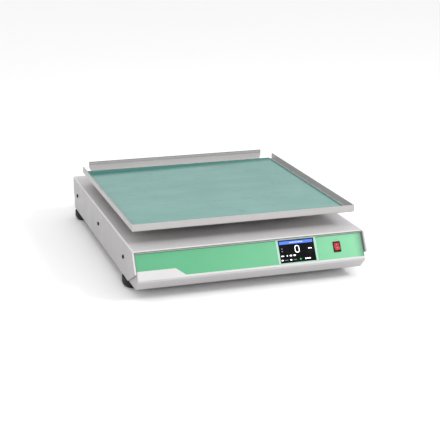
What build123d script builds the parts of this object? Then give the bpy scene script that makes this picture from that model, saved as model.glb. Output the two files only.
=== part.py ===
from build123d import *

import os
from math import cos, pi, radians, sin, tan

# Rocking platform shaker, millimetres.
# X to the right, Y to the back, Z up. The origin lies on the bench, under the middle of the
# housing. A folded steel tray carries the works, a folded steel cover closes it, and a wide
# rimmed platform rocks from side to side about a shaft that runs from front to back.

# ---------------------------------------------------------------- driving dimensions

# Housing
housing_width = 463.0        # across the cover's sides
housing_depth = 601.0        # from the nose to the rear skirt
housing_height = 74.0        # from the tray's underside to the cover's top
foot_height = 20.0
sheet = 1.5                  # steel of the tray and the cover
fold_radius = 3.0            # outside of a fold
fit_gap = 0.3                # between the tray and the cover
side_gap = 1.8               # between the tray's sides and the cover's

# Front of the housing
panel_tilt = 30.0            # control panel, from upright
lip_angle = 45.0             # lip under the nose, from level
nose_height = 20.5           # nose above the tray's underside
panel_recess = 5.5           # panel behind the front edges of the cover's sides
front_hem = 3.5              # folded edge of the cover's top
cheek_hem = 4.5              # folded front edges of the cover's sides
top_return = 12.0            # flange behind the panel's upper edge
cheek_height = 36.0          # lower front corner of the cover's side
cheek_run = 45.0             # how far the side's lower front corner is cut back
side_lift = 2.0              # cover's lower edge above the tray's underside

# Back and sides of the housing
rear_inset = 8.0             # tray's rear wall behind the cover's skirt
skirt_bottom = 33.0          # lower edge of the skirt above the tray's underside
side_wall = 50.0             # tray's side walls, under the cover
screw_row_height = 40.0
screw_row_front = 100.5      # first cover screw from the housing's front
screw_row_rear = 48.5        # last cover screw from its back
screw_row_count = 3
opening_gap = 4.0            # around the parts that pass through the cover's top
opening_corner = 4.0
vent_count = 10
vent_pitch = 9.0
vent_length = 13.0
vent_width = 3.0

# Feet
foot_radius = 24.5
foot_straight = 6.0          # straight band under a foot's top
foot_belly_radius = 23.6     # between the band and the sole
foot_belly_height = 5.5
foot_sole_radius = 19.0
foot_pocket_radius = 7.0
foot_pocket_depth = 10.0
foot_side_inset = 21.5       # a foot's middle from the housing's side
foot_front_inset = 102.5
foot_rear_inset = 30.5

# Platform
platform_width = 450.0
platform_depth = 478.0
platform_y = -9.5            # platform's middle
platform_gap = 28.5          # from the cover's top to the platform's underside
platform_sheet = 2.0
rim_height = 14.2
rear_rim_height = 20.7
rear_rim_width = 408.0
rear_rim_x = -3.5            # rear rim's middle
rear_notch = 17.0            # open rear corners, from the platform's back
relief_width = 4.0           # bend relief at the foot of the rear rim
relief_height = 7.0
rear_rim_hem = 1.0           # thickness of the rear rim's folded edge
rear_rim_hem_height = 3.5
mat_thickness = 2.5
mat_side_gap = 6.5
mat_front_gap = 2.0
mat_rear_gap = 16.0
mat_corner = 4.0
mat_chamfer = 0.6

# Rocking axis
axis_above_cover = 10.0      # rocking axis above the cover's top
shaft_radius = 5.0
shaft_half_length = 152.0
bearing_radius = 9.5
bearing_width = 5.0
bearing_ring = 1.5           # ring beside the shields
bearing_shield = 0.4         # shields' setback
bearing_shoulder = 2.0       # metal behind a bearing
running_gap = 0.03           # between a shaft and its bearing
seat_gap = 0.02              # between a shaft and what is clamped on it
shaft_chamfer = 0.8
pedestal_offset = 115.0      # pedestals before and behind the platform's middle
pedestal_thickness = 20.0
pedestal_head_radius = 13.5
pedestal_column = 46.0
pedestal_base = 92.0
pedestal_base_height = 8.0
pedestal_bolt_offset = 35.0
pedestal_light_foot = 12.0   # half widths of the opening in a pedestal's column
pedestal_light_head = 8.0
pedestal_light_low = 6.0     # from the base, and from the head
pedestal_light_high = 8.0
clamp_offset = 140.0
clamp_thickness = 16.0
clamp_radius = 9.0
clamp_width = 42.0
clamp_ear = 9.8
clamp_screw_offset = 14.5
collar_radius = 8.5
collar_width = 9.0
collar_gap = 1.0
carrier_width = 220.0
carrier_length = 330.0
carrier_thickness = 3.0
carrier_corner = 12.0
carrier_window = 52.0
carrier_window_corner = 10.0
carrier_window_pitch_x = 124.0
carrier_window_pitch_y = 92.0
carrier_screw_x = 90.0
carrier_screw_y = 145.0

# Eccentric drive
eccentric_drop = 52.0        # eccentric's axis below the rocking axis
throw = 5.6                  # crank pin off the eccentric's axis
follower_radius = 8.0
follower_width = 5.0
follower_ring = 1.2
follower_gap = 0.65          # follower to each side of the yoke's slot
slot_spare = 0.5
yoke_thickness = 8.0
yoke_width = 36.0
yoke_corner = 10.0
yoke_toe = 6.0               # metal below the slot
yoke_flange = 32.0
yoke_flange_height = 6.0
yoke_screw_x = 11.0
yoke_screw_y = 10.5
pin_radius = 3.0
pin_shoulder_radius = 4.0
pin_head_radius = 4.5
pin_head = 1.4
flange_radius = 16.0
flange_width = 6.0
drive_gap = 1.5              # between the yoke, the flange and the bearing housing
housing_bore = 8.0
barrel_radius = 15.0
barrel_length = 18.0
barrel_flange_radius = 24.0
barrel_flange = 5.0
barrel_screw_circle = 19.5
bracket_sheet = 3.0
bracket_corner = 12.0
bracket_bolt_inset = 14.0
bracket_bolt_shift = 4.0     # bolts behind the middle of the bracket's foot
shaft_clearance = 3.0        # around the shaft where it passes the bracket
bracket_left = 40.0          # bracket's edges from the eccentric's axis
bracket_right = 126.0
bracket_height = 62.0
bracket_foot = 30.0
motor_offset = 92.0          # motor's axis to the right of the eccentric's
gearbox_radius = 21.0
gearbox_length = 32.0
motor_radius = 19.0
motor_length = 55.0
motor_chamfer = 2.0
motor_cap_radius = 7.0
motor_cap = 5.0
motor_plug_width = 10.0
motor_plug_height = 6.0
motor_plug_offset = 13.0
motor_pilot_radius = 11.0
motor_pilot_recess = 0.5     # pilot below the bracket's rear face
motor_shaft_radius = 4.0
motor_shaft_depth = 12.0
shaft_end_gap = 0.5          # before the end of the gearbox's bore
motor_screw_circle = 16.0
motor_thread = 8.0
motor_thread_grip = 7.0
shaft_spare = 2.0            # shafts behind the pulleys

# Toothed belt
belt_pitch = 5.0
driven_teeth = 30
driving_teeth = 15
tooth_depth = 1.2
belt_width = 9.0
belt_thickness = 1.6
belt_gap = 0.35              # between the belt and the teeth
pulley_flange = 1.2
pulley_flange_rise = 2.0
pulley_gap = 3.0             # behind the bracket

# Control panel
overlay_thickness = 0.8
overlay_bottom = 3.0
overlay_side = 0.6
overlay_top = 1.2
display_inset = 137.9        # display's middle from the tray's right side
display_up = 30.9            # and up the panel from the nose
window_width = 73.2
window_height = 44.6
frame_side = 4.8
frame_edge = 1.7
frame_rise = 0.5
frame_corner = 1.2
frame_chamfer = 0.3
frame_gap = 0.1
glass_thickness = 1.2
glass_recess = 0.3
module_depth = 5.0
module_board_width = 98.0
module_board_height = 50.0
module_hole_inset = 4.0
module_chip = 14.0
module_chip_x = -22.0
module_plug_width = 8.0
module_plug_height = 26.0
module_plug_x = 26.0
module_part_height = 2.5
board_thickness = 1.6
spacer_radius = 3.0
switch_inset = 55.0          # switch's middle from the tray's right side
switch_up = 30.5
switch_width = 15.0
switch_height = 21.0
switch_bezel = 1.6
switch_corner = 1.0
switch_chamfer = 0.5
switch_body_width = 13.2
switch_body_height = 19.6
switch_body_depth = 15.0
switch_wall = 0.75
switch_tab_pitch_x = 6.0
switch_tab_pitch_y = 10.0
tab_thickness = 0.8          # flat terminals of the switch and the inlet
tab_width = 4.8
tab_length = 7.0
rocker_radius = 8.6
rocker_gap = 0.35
rocker_pivot_depth = 2.0     # pivot behind the panel's face
rocker_valley = 3.6          # rocker's middle above the pivot
rocker_slope = 14.0
rocker_crest_reach = 6.7     # from the rocker's middle to its crests
rocker_heel_reach = 6.9
rocker_rest = 10.0           # rocker's tilt when switched on
rocker_pin_radius = 0.9
rocker_pin_gap = 0.2         # past the ends of the pin
cutout_gap = 0.3

# Power inlet and the boards
inlet_inset = 78.2           # inlet's middle from the tray's right side
inlet_height = 16.0
inlet_flange_width = 50.0
inlet_flange_height = 22.5
inlet_corner = 3.0
inlet_flange = 2.5
inlet_screw_pitch = 40.0
inlet_body_width = 28.0
inlet_body_height = 20.0
inlet_body_depth = 26.0
socket_width = 24.4
socket_height = 16.4
socket_depth = 17.0
socket_corner = 4.5
blade_recess = 4.9
blade_pitch = 7.0
blade_offset = 2.0           # outer blades below, middle blade above
blade_width = 2.0
blade_height = 4.0
supply_side_gap = 31.7       # from the tray's left wall
supply_rear_gap = 61.7       # from its rear wall
supply_length = 110.0
supply_width = 78.0
supply_height = 34.0
supply_wall = 2.0
supply_bay = 16.0            # open bay over the terminals
supply_bay_depth = 18.5
supply_slot_count = 9
supply_slot_length = 48.0
barrier_count = 6
barrier_pitch = 11.0
barrier_length = 11.0
barrier_thickness = 2.0
barrier_height = 8.0
control_board_side_gap = 36.7
control_board_front_gap = 92.5
control_board_width = 120.0
control_board_depth = 76.0
board_hole_inset = 5.0
spacer_height = 8.0
heat_sink_x = -30.0          # parts on the control board, from its middle
heat_sink_y = 12.0
heat_sink_length = 34.0
heat_sink_height = 18.0
heat_sink_base = 3.0
fin_count = 7
fin_pitch = 5.0
fin_thickness = 1.6
capacitor_x = 20.0
capacitor_y = 16.0
capacitor_pitch = 15.0
capacitor_radius = 5.0
capacitor_height = 16.0
plug_x = 8.0
plug_y = -30.0
plug_count = 4
plug_pitch = 19.0
plug_length = 15.0
plug_width = 8.0
relay_x = 24.0
relay_y = -10.0
relay_length = 19.0
relay_width = 15.0
plug_height = 9.0            # height of the plugs and the relay

# Fasteners
m3, m4, m5, m6 = 1.5, 2.0, 2.5, 3.0
hole_gap = 0.2               # a screw's hole around its shank
thread_spare = 2.5           # shank past its nut
cap_head = 2.0               # heads and nuts, in shank radii
cap_head_radius = 1.75
low_head = 1.1
low_head_radius = 1.9
nut_height = 1.6
nut_radius = 1.85
flat_head = 0.9              # flat heads under the mat
flat_head_radius = 4.4

# ---------------------------------------------------------------- derived places

tray_z = foot_height
floor_z = tray_z + sheet
cover_z = tray_z + housing_height
cover_inside_z = cover_z - sheet
rear_y = housing_depth / 2
tray_width = housing_width - 2 * (sheet + side_gap)
tray_rear_y = rear_y - rear_inset - fit_gap
foot_x = housing_width / 2 - foot_side_inset
foot_front_y = foot_front_inset - housing_depth / 2
foot_rear_y = housing_depth / 2 - foot_rear_inset

display_x = tray_width / 2 - display_inset
switch_x = tray_width / 2 - switch_inset
inlet_x = tray_width / 2 - inlet_inset
left_wall_x = sheet - tray_width / 2
supply_x = left_wall_x + supply_side_gap + supply_length / 2
supply_y = tray_rear_y - sheet - supply_rear_gap - supply_width / 2
control_board_x = left_wall_x + control_board_side_gap + control_board_width / 2
control_board_y = control_board_front_gap + control_board_depth / 2 - housing_depth / 2

nose_half_angle = radians(90 - panel_tilt + lip_angle) / 2
nose_slant = radians(90 - panel_tilt - lip_angle) / 2
nose_trim = fold_radius * (cos(nose_slant) / sin(nose_half_angle) - 1)
nose_y = -housing_depth / 2 - nose_trim
nose_z = tray_z + nose_height
lip_y = nose_y + nose_height / tan(radians(lip_angle))
panel_top_z = cover_inside_z - fit_gap
panel_length = (panel_top_z - nose_z) / cos(radians(panel_tilt))
panel_top_y = nose_y + panel_length * sin(radians(panel_tilt))
panel_normal = (0, -cos(radians(panel_tilt)), sin(radians(panel_tilt)))
panel = Plane(origin=(0, nose_y, nose_z), x_dir=(1, 0, 0), z_dir=panel_normal)

platform_z = cover_z + platform_gap
platform_top_z = platform_z + platform_sheet
platform_front_y = platform_y - platform_depth / 2
platform_rear_y = platform_y + platform_depth / 2

rock_z = cover_z + axis_above_cover
carrier_z = platform_z - carrier_thickness
eccentric_z = rock_z - eccentric_drop
pin_z = eccentric_z - throw
slot_width = 2 * (follower_radius + follower_gap)
slot_low = eccentric_drop + throw + slot_spare
slot_high = eccentric_drop - throw - slot_spare
yoke_bottom_z = rock_z - slot_low - slot_width / 2 - yoke_toe

flange_y = platform_y + yoke_thickness / 2 + drive_gap
barrel_y = flange_y + flange_width + drive_gap
bracket_y = barrel_y + barrel_length
pulley_y = bracket_y + bracket_sheet + pulley_gap
pulley_width = belt_width + 2 * (pulley_flange + cutout_gap)
driven_radius = driven_teeth * belt_pitch / (2 * pi) - tooth_depth / 2
driving_radius = driving_teeth * belt_pitch / (2 * pi) - tooth_depth / 2


def side_view(x=0.0):
    """Plane that looks along X, with Y across and Z up."""
    return Plane.YZ.offset(x)


def front_view(y=0.0):
    """Plane that faces the front, with X across and Z up, at the given y."""
    return Plane.XZ.offset(-y)


def plain_screw(shank, length, head_radius, head):
    """Screw along -Z: its head stands on z = 0 and its shank hangs below."""
    with BuildPart() as screw:
        with BuildSketch(Plane.XY):
            Circle(shank)
        extrude(amount=-length)
        with BuildSketch(Plane.XY):
            Circle(head_radius)
        extrude(amount=head)
        chamfer(screw.edges().group_by(Axis.Z)[-1], head * 0.2)
    return screw.part


def socket_screw(shank, length, low=False):
    """The same with a hexagon socket, under a cap head or a low head."""
    head = shank * (low_head if low else cap_head)
    head_radius = shank * (low_head_radius if low else cap_head_radius)
    with BuildPart() as screw:
        add(plain_screw(shank, length, head_radius, head))
        with BuildSketch(Plane.XY.offset(head)):
            RegularPolygon(shank * 0.8, 6)
        extrude(amount=-head * 0.55, mode=Mode.SUBTRACT)
    return screw.part


def hex_nut(shank):
    """Hexagon nut that stands on z = 0."""
    with BuildPart() as nut:
        with BuildSketch(Plane.XY):
            RegularPolygon(shank * nut_radius, 6)
            Circle(shank + seat_gap, mode=Mode.SUBTRACT)
        extrude(amount=shank * nut_height)
    return nut.part


def ball_bearing(bore, outside, width, step):
    """Shielded ball bearing along +Y from y = 0, with its shields set back a little."""
    shield = bearing_shield
    with BuildPart() as bearing:
        with BuildSketch(Plane.XY):
            with BuildLine():
                Polyline(
                    (bore, 0), (bore + step, 0), (bore + step, shield),
                    (outside - step, shield), (outside - step, 0), (outside, 0),
                    (outside, width), (outside - step, width), (outside - step, width - shield),
                    (bore + step, width - shield), (bore + step, width), (bore, width),
                    close=True,
                )
            make_face()
        revolve(axis=Axis.Y)
    return bearing.part


def toothed_pulley(teeth, tip_radius, bore):
    """Flanged pulley along +Y from y = 0, with one groove for each tooth of the belt."""
    rim = tip_radius + pulley_flange_rise
    with BuildPart() as pulley:
        with BuildSketch(front_view()):
            Circle(tip_radius)
        extrude(amount=-pulley_width)
        with BuildSketch(front_view()):
            with PolarLocations(tip_radius, teeth):
                Rectangle(2 * tooth_depth, belt_pitch * 0.42)
        extrude(amount=-pulley_width, mode=Mode.SUBTRACT)
        for start in (0, pulley_width - pulley_flange):
            with BuildSketch(front_view(start)):
                Circle(rim)
            extrude(amount=-pulley_flange)
        with BuildSketch(front_view()):
            Circle(bore + seat_gap)
        extrude(amount=-pulley_width, mode=Mode.SUBTRACT)
    return pulley.part


# ---------------------------------------------------------------- folded steel housing

screw_row_start = screw_row_front - housing_depth / 2
screw_row_pitch = (housing_depth - screw_row_front - screw_row_rear) / (screw_row_count - 1)
screw_row = [screw_row_start + i * screw_row_pitch for i in range(screw_row_count)]
foot_places = [(x, y) for x in (-foot_x, foot_x) for y in (foot_front_y, foot_rear_y)]
pedestal_places = [platform_y - pedestal_offset, platform_y + pedestal_offset]
bracket_bolts = [bracket_bolt_inset - bracket_left, motor_offset / 2, bracket_right - bracket_bolt_inset]
bracket_foot_y = bracket_y + bracket_sheet + bracket_foot / 2 + bracket_bolt_shift

with BuildPart() as base_tray:
    # One sheet: rear wall, bottom, lip, nose, sloping panel and the flange behind it
    with BuildSketch(side_view()) as tray_section:
        with BuildLine():
            Polyline(
                (lip_y, tray_z), (nose_y, nose_z), (panel_top_y, panel_top_z),
                (tray_rear_y, panel_top_z), (tray_rear_y, tray_z), close=True,
            )
        make_face()
        fillet(tray_section.vertices().sort_by(lambda v: v.X + v.Y)[:-1], fold_radius)
    extrude(amount=tray_width / 2, both=True)
    with BuildSketch(side_view()):
        add(tray_section.sketch_local)
        offset(amount=-sheet)
    extrude(amount=tray_width / 2 - sheet, both=True, mode=Mode.SUBTRACT)
    # The top is open behind the panel's flange, and the side walls are lower
    open_front_y = panel_top_y + top_return
    open_back_y = tray_rear_y - sheet
    side_top_z = tray_z + side_wall
    with BuildSketch(side_view()):
        with BuildLine():
            Polyline(
                (open_front_y, cover_z), (open_front_y, side_top_z), (open_back_y, side_top_z),
                (open_back_y, cover_z), close=True,
            )
        make_face()
    extrude(amount=tray_width / 2, both=True, mode=Mode.SUBTRACT)
    # Screw holes: cover, feet, pedestals and drive bracket
    with BuildSketch(side_view()):
        with Locations([(y, tray_z + screw_row_height) for y in screw_row]):
            Circle(m4 + hole_gap)
    extrude(amount=tray_width / 2, both=True, mode=Mode.SUBTRACT)
    with BuildSketch(Plane.XY.offset(tray_z)):
        with Locations(foot_places):
            Circle(m5 + hole_gap)
        with Locations([(x, y) for y in pedestal_places
                        for x in (-pedestal_bolt_offset, pedestal_bolt_offset)]):
            Circle(m6 + hole_gap)
        with Locations([(x, bracket_foot_y) for x in bracket_bolts]):
            Circle(m5 + hole_gap)
    extrude(amount=sheet, mode=Mode.SUBTRACT)
    # Openings in the panel for the display and the power switch
    with BuildSketch(panel):
        with Locations((display_x, display_up)):
            Rectangle(window_width + 2 * cutout_gap, window_height + 2 * cutout_gap)
        with Locations((switch_x, switch_up)):
            Rectangle(switch_body_width + 2 * cutout_gap, switch_body_height + 2 * cutout_gap)
    extrude(amount=-sheet - cutout_gap, mode=Mode.SUBTRACT)
    # Rear wall: power inlet and air slots
    with BuildSketch(front_view(tray_rear_y)):
        with Locations((inlet_x, tray_z + inlet_height)):
            Rectangle(inlet_body_width + 2 * cutout_gap, inlet_body_height + 2 * cutout_gap)
            with GridLocations(inlet_screw_pitch, 0, 2, 1):
                Circle(m3 + hole_gap)
        with Locations((supply_x, tray_z + inlet_height)):
            with GridLocations(vent_pitch, 0, vent_count, 1):
                SlotCenterToCenter(vent_length, vent_width, rotation=90)
    extrude(amount=sheet, mode=Mode.SUBTRACT)
base_tray.part.label = "base_tray"

cheek_z = tray_z + cheek_height
side_bottom_z = tray_z + side_lift
panel_lead = panel_recess / cos(radians(panel_tilt))


def cover_front_y(z):
    """Front edge of the cover's side at height z, parallel to the panel."""
    return nose_y + (z - nose_z) * tan(radians(panel_tilt)) - panel_lead


cover_front = cover_front_y(cover_z)

with BuildPart() as cover:
    with BuildSketch(side_view()):
        with BuildLine():
            Polyline(
                (cover_front, cover_z), (cover_front_y(cheek_z), cheek_z),
                (cover_front + cheek_run, side_bottom_z),
                (rear_y - rear_inset, side_bottom_z), (rear_y - rear_inset, tray_z + skirt_bottom),
                (rear_y, tray_z + skirt_bottom), (rear_y, cover_z), close=True,
            )
        make_face()
    extrude(amount=housing_width / 2, both=True)
    folds = cover.edges().filter_by(Axis.Y).group_by(Axis.Z)[-1]
    folds += cover.edges().filter_by(Axis.X).group_by(Axis.Z)[-1].sort_by(Axis.Y)[-1:]
    folds += cover.edges().filter_by(Axis.Z).group_by(Axis.Y)[-1]
    fillet(folds, fold_radius)
    # Inside: open to the front and below
    with BuildSketch(side_view()):
        with BuildLine():
            Polyline(
                (nose_y - sheet, tray_z), (nose_y - sheet, cover_inside_z),
                (rear_y - sheet, cover_inside_z), (rear_y - sheet, tray_z), close=True,
            )
        make_face()
    extrude(amount=housing_width / 2 - sheet, both=True, mode=Mode.SUBTRACT)
    # Folded front edge of the top
    with BuildSketch(side_view()):
        with Locations((cover_front + sheet / 2, cover_z - front_hem / 2 - sheet / 2)):
            Rectangle(sheet, front_hem + sheet)
    extrude(amount=housing_width / 2 - sheet, both=True)
    # Front edges of the sides, folded back outside
    hem_top_z = cover_z - fold_radius
    hem_run = cheek_hem / cos(radians(panel_tilt))
    for side in (-1, 1):
        with BuildSketch(side_view(side * housing_width / 2)):
            with BuildLine():
                Polyline(
                    (cover_front_y(hem_top_z), hem_top_z), (cover_front_y(cheek_z), cheek_z),
                    (cover_front_y(cheek_z) + hem_run, cheek_z),
                    (cover_front_y(hem_top_z) + hem_run, hem_top_z), close=True,
                )
            make_face()
        extrude(amount=side * sheet)
    # Openings for the pedestals and the yoke, and the screw holes
    with BuildSketch(Plane.XY.offset(cover_z)):
        with Locations([(0, y) for y in pedestal_places]):
            RectangleRounded(
                2 * (pedestal_head_radius + opening_gap), pedestal_thickness + 2 * opening_gap,
                opening_corner,
            )
        with Locations((0, platform_y)):
            RectangleRounded(
                yoke_width + 2 * opening_gap, yoke_thickness + 2 * opening_gap, opening_corner,
            )
    extrude(amount=-sheet, mode=Mode.SUBTRACT)
    with BuildSketch(side_view()):
        with Locations([(y, tray_z + screw_row_height) for y in screw_row]):
            Circle(m4 + hole_gap)
    extrude(amount=housing_width / 2, both=True, mode=Mode.SUBTRACT)
cover.part.label = "cover"

cover_grip = 2 * sheet + side_gap + nut_height * m4
cover_screw = socket_screw(m4, cover_grip + thread_spare, low=True)
with BuildPart() as cover_screws:
    for side in (-1, 1):
        spots = [Location((side * housing_width / 2, y, tray_z + screw_row_height), (0, side * 90, 0))
                 for y in screw_row]
        with Locations(spots):
            add(cover_screw)
cover_screws.part.label = "cover_screws"

cover_nut = hex_nut(m4)
with BuildPart() as cover_nuts:
    for side in (-1, 1):
        nut_x = side * (tray_width / 2 - sheet)
        spots = [Location((nut_x, y, tray_z + screw_row_height), (0, -side * 90, 0)) for y in screw_row]
        with Locations(spots):
            add(cover_nut)
cover_nuts.part.label = "cover_nuts"

# ---------------------------------------------------------------- feet

with BuildPart() as rubber_foot:
    with BuildSketch(Plane.XZ):
        with BuildLine():
            Polyline(
                (foot_sole_radius, 0), (foot_pocket_radius, 0),
                (foot_pocket_radius, foot_pocket_depth), (m5 + hole_gap, foot_pocket_depth),
                (m5 + hole_gap, foot_height), (foot_radius, foot_height),
                (foot_radius, foot_height - foot_straight),
            )
            ThreePointArc(
                (foot_radius, foot_height - foot_straight), (foot_belly_radius, foot_belly_height),
                (foot_sole_radius, 0),
            )
        make_face()
    revolve(axis=Axis.Z)

with BuildPart() as feet:
    with Locations([(x, y, 0) for x, y in foot_places]):
        add(rubber_foot.part)
feet.part.label = "feet"

foot_grip = foot_height - foot_pocket_depth + sheet + nut_height * m5
foot_screw = socket_screw(m5, foot_grip + thread_spare, low=True)
with BuildPart() as foot_screws:
    with Locations([Location((x, y, foot_pocket_depth), (180, 0, 0)) for x, y in foot_places]):
        add(foot_screw)
foot_screws.part.label = "foot_screws"

foot_nut = hex_nut(m5)
with BuildPart() as foot_nuts:
    with Locations([(x, y, floor_z) for x, y in foot_places]):
        add(foot_nut)
foot_nuts.part.label = "foot_nuts"

# ---------------------------------------------------------------- control panel

overlay_low = overlay_bottom
overlay_high = panel_length - overlay_top
with BuildPart() as front_overlay:
    with BuildSketch(panel):
        with Locations((0, (overlay_low + overlay_high) / 2)):
            Rectangle(tray_width - 2 * overlay_side, overlay_high - overlay_low)
        with Locations((display_x, display_up)):
            Rectangle(
                window_width + 2 * (frame_side + cutout_gap),
                window_height + 2 * (frame_edge + cutout_gap), mode=Mode.SUBTRACT,
            )
        with Locations((switch_x, switch_up)):
            Rectangle(
                switch_body_width + 2 * cutout_gap, switch_body_height + 2 * cutout_gap,
                mode=Mode.SUBTRACT,
            )
    extrude(amount=overlay_thickness)
front_overlay.part.label = "front_overlay"

with BuildPart() as display_frame:
    with BuildSketch(panel):
        with Locations((display_x, display_up)):
            RectangleRounded(
                window_width + 2 * frame_side, window_height + 2 * frame_edge, frame_corner,
            )
            Rectangle(
                window_width + 2 * frame_gap, window_height + 2 * frame_gap, mode=Mode.SUBTRACT,
            )
    extrude(amount=overlay_thickness + frame_rise)
    rim = display_frame.faces().sort_by(Axis((0, 0, 0), panel_normal))[-1]
    chamfer(rim.outer_wire().edges(), frame_chamfer)
display_frame.part.label = "display_frame"

glass_face = overlay_thickness + frame_rise - glass_recess
with BuildPart() as display_glass:
    with BuildSketch(panel.offset(glass_face)):
        with Locations((display_x, display_up)):
            Rectangle(window_width, window_height)
    extrude(amount=-glass_thickness)
display_glass.part.label = "display_glass"

module_face = glass_face - glass_thickness
module_back = -sheet - module_depth
module_hole_x = module_board_width / 2 - module_hole_inset
module_hole_y = module_board_height / 2 - module_hole_inset
with BuildPart() as display_module:
    # The picture cell fills the panel's opening, and its board lies behind
    with BuildSketch(panel.offset(module_face)):
        with Locations((display_x, display_up)):
            Rectangle(window_width, window_height)
    extrude(amount=module_back - module_face)
    with BuildSketch(panel.offset(module_back)):
        with Locations((display_x, display_up)):
            Rectangle(module_board_width, module_board_height)
            with GridLocations(2 * module_hole_x, 2 * module_hole_y, 2, 2):
                Circle(m3 + hole_gap, mode=Mode.SUBTRACT)
    extrude(amount=-board_thickness)
    with BuildSketch(panel.offset(module_back - board_thickness)):
        with Locations((display_x + module_chip_x, display_up)):
            Rectangle(module_chip, module_chip)
        with Locations((display_x + module_plug_x, display_up)):
            Rectangle(module_plug_width, module_plug_height)
    extrude(amount=-module_part_height)
display_module.part.label = "display_module"

module_grid = [(display_x + i * module_hole_x, display_up + j * module_hole_y)
               for i in (-1, 1) for j in (-1, 1)]
display_spacer_height = module_depth - seat_gap
with BuildPart() as display_spacers:
    with BuildSketch(panel.offset(-sheet - seat_gap)):
        with Locations(module_grid):
            RegularPolygon(spacer_radius, 6)
    extrude(amount=-display_spacer_height)
display_spacers.part.label = "display_spacers"

display_screw = socket_screw(m3, board_thickness, low=True)
with BuildPart() as display_screws:
    back_face = panel.offset(module_back - board_thickness)
    turned = Plane(origin=back_face.origin, x_dir=(1, 0, 0), z_dir=-back_face.z_dir)
    spots = [turned * Location((x, -y, 0)) for x, y in module_grid]
    with Locations(spots):
        add(display_screw)
display_screws.part.label = "display_screws"

# Rocker switch: a moulded body that snaps into the panel, and the rocker on its two stubs
cavity_height = 2 * (rocker_radius + rocker_gap)
cavity_width = switch_body_width - 2 * switch_wall
bezel_face = overlay_thickness + switch_bezel
pivot = panel.from_local_coords((switch_x, switch_up, -rocker_pivot_depth))
rest_lean = radians(rocker_rest)
rocker_plane = Plane(origin=pivot, x_dir=panel.y_dir, z_dir=(1, 0, 0))
rest_plane = Plane(
    origin=pivot, x_dir=panel.y_dir * cos(rest_lean) - panel.z_dir * sin(rest_lean), z_dir=(1, 0, 0),
)

with BuildPart() as power_switch_body:
    with BuildSketch(panel.offset(overlay_thickness)):
        with Locations((switch_x, switch_up)):
            RectangleRounded(switch_width, switch_height, switch_corner)
    extrude(amount=switch_bezel)
    bezel_top = power_switch_body.faces().sort_by(Axis((0, 0, 0), panel_normal))[-1]
    chamfer(bezel_top.edges(), switch_chamfer)
    with BuildSketch(panel.offset(overlay_thickness)):
        with Locations((switch_x, switch_up)):
            Rectangle(switch_body_width, switch_body_height)
    extrude(amount=-switch_body_depth)
    with BuildSketch(panel.offset(bezel_face)):
        with Locations((switch_x, switch_up)):
            Rectangle(cavity_width, cavity_height)
    extrude(amount=-(bezel_face + rocker_pivot_depth + rocker_radius), mode=Mode.SUBTRACT)
    with BuildSketch(rocker_plane):
        Circle(rocker_pin_radius + running_gap)
    extrude(amount=switch_body_width / 2, both=True, mode=Mode.SUBTRACT)
    with BuildSketch(panel.offset(overlay_thickness - switch_body_depth)):
        with Locations((switch_x, switch_up)):
            with GridLocations(switch_tab_pitch_x, switch_tab_pitch_y, 2, 2):
                Rectangle(tab_thickness, tab_width)
    extrude(amount=-tab_length)
power_switch_body.part.label = "power_switch_body"

rocker_crest = rocker_valley + rocker_crest_reach * tan(radians(rocker_slope))
crest_x = (rocker_radius**2 - rocker_crest**2) ** 0.5
heel_x = rocker_heel_reach
heel_z = -(rocker_radius**2 - heel_x**2) ** 0.5
rocker_half_width = cavity_width / 2 - rocker_gap
with BuildPart() as switch_rocker:
    with BuildSketch(rest_plane):
        with BuildLine():
            Polyline((-crest_x, rocker_crest), (0, rocker_valley), (crest_x, rocker_crest))
            ThreePointArc((crest_x, rocker_crest), (rocker_radius, 0), (heel_x, heel_z))
            Line((heel_x, heel_z), (-heel_x, heel_z))
            ThreePointArc((-heel_x, heel_z), (-rocker_radius, 0), (-crest_x, rocker_crest))
        make_face()
    extrude(amount=rocker_half_width, both=True)
    with BuildSketch(rocker_plane):
        Circle(rocker_pin_radius)
    extrude(amount=switch_body_width / 2 - rocker_pin_gap, both=True)
switch_rocker.part.label = "switch_rocker"

# ---------------------------------------------------------------- power inlet

inlet_z = tray_z + inlet_height
inlet_face_y = tray_rear_y + inlet_flange
with BuildPart() as power_inlet:
    with BuildSketch(front_view(tray_rear_y)):
        with Locations((inlet_x, inlet_z)):
            RectangleRounded(inlet_flange_width, inlet_flange_height, inlet_corner)
            with GridLocations(inlet_screw_pitch, 0, 2, 1):
                Circle(m3 + hole_gap, mode=Mode.SUBTRACT)
    extrude(amount=-inlet_flange)
    with BuildSketch(front_view(tray_rear_y)):
        with Locations((inlet_x, inlet_z)):
            Rectangle(inlet_body_width, inlet_body_height)
    extrude(amount=inlet_body_depth)
    # Socket with two cut upper corners
    with BuildSketch(front_view(inlet_face_y)) as socket_outline:
        with Locations((inlet_x, inlet_z)):
            Rectangle(socket_width, socket_height)
        chamfer(socket_outline.vertices().group_by(Axis.Y)[-1], socket_corner)
    extrude(amount=socket_depth, mode=Mode.SUBTRACT)
    # Three blades, set back from the mouth
    with BuildSketch(front_view(inlet_face_y - socket_depth)):
        with Locations((inlet_x, inlet_z - blade_offset)):
            with GridLocations(2 * blade_pitch, 0, 2, 1):
                Rectangle(blade_width, blade_height)
        with Locations((inlet_x, inlet_z + blade_offset)):
            Rectangle(blade_width, blade_height)
    extrude(amount=-(socket_depth - blade_recess))
    with BuildSketch(front_view(tray_rear_y - inlet_body_depth)):
        with Locations((inlet_x, inlet_z)):
            with GridLocations(blade_pitch, 0, 3, 1):
                Rectangle(tab_thickness, tab_width)
    extrude(amount=tab_length)
power_inlet.part.label = "power_inlet"

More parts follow.
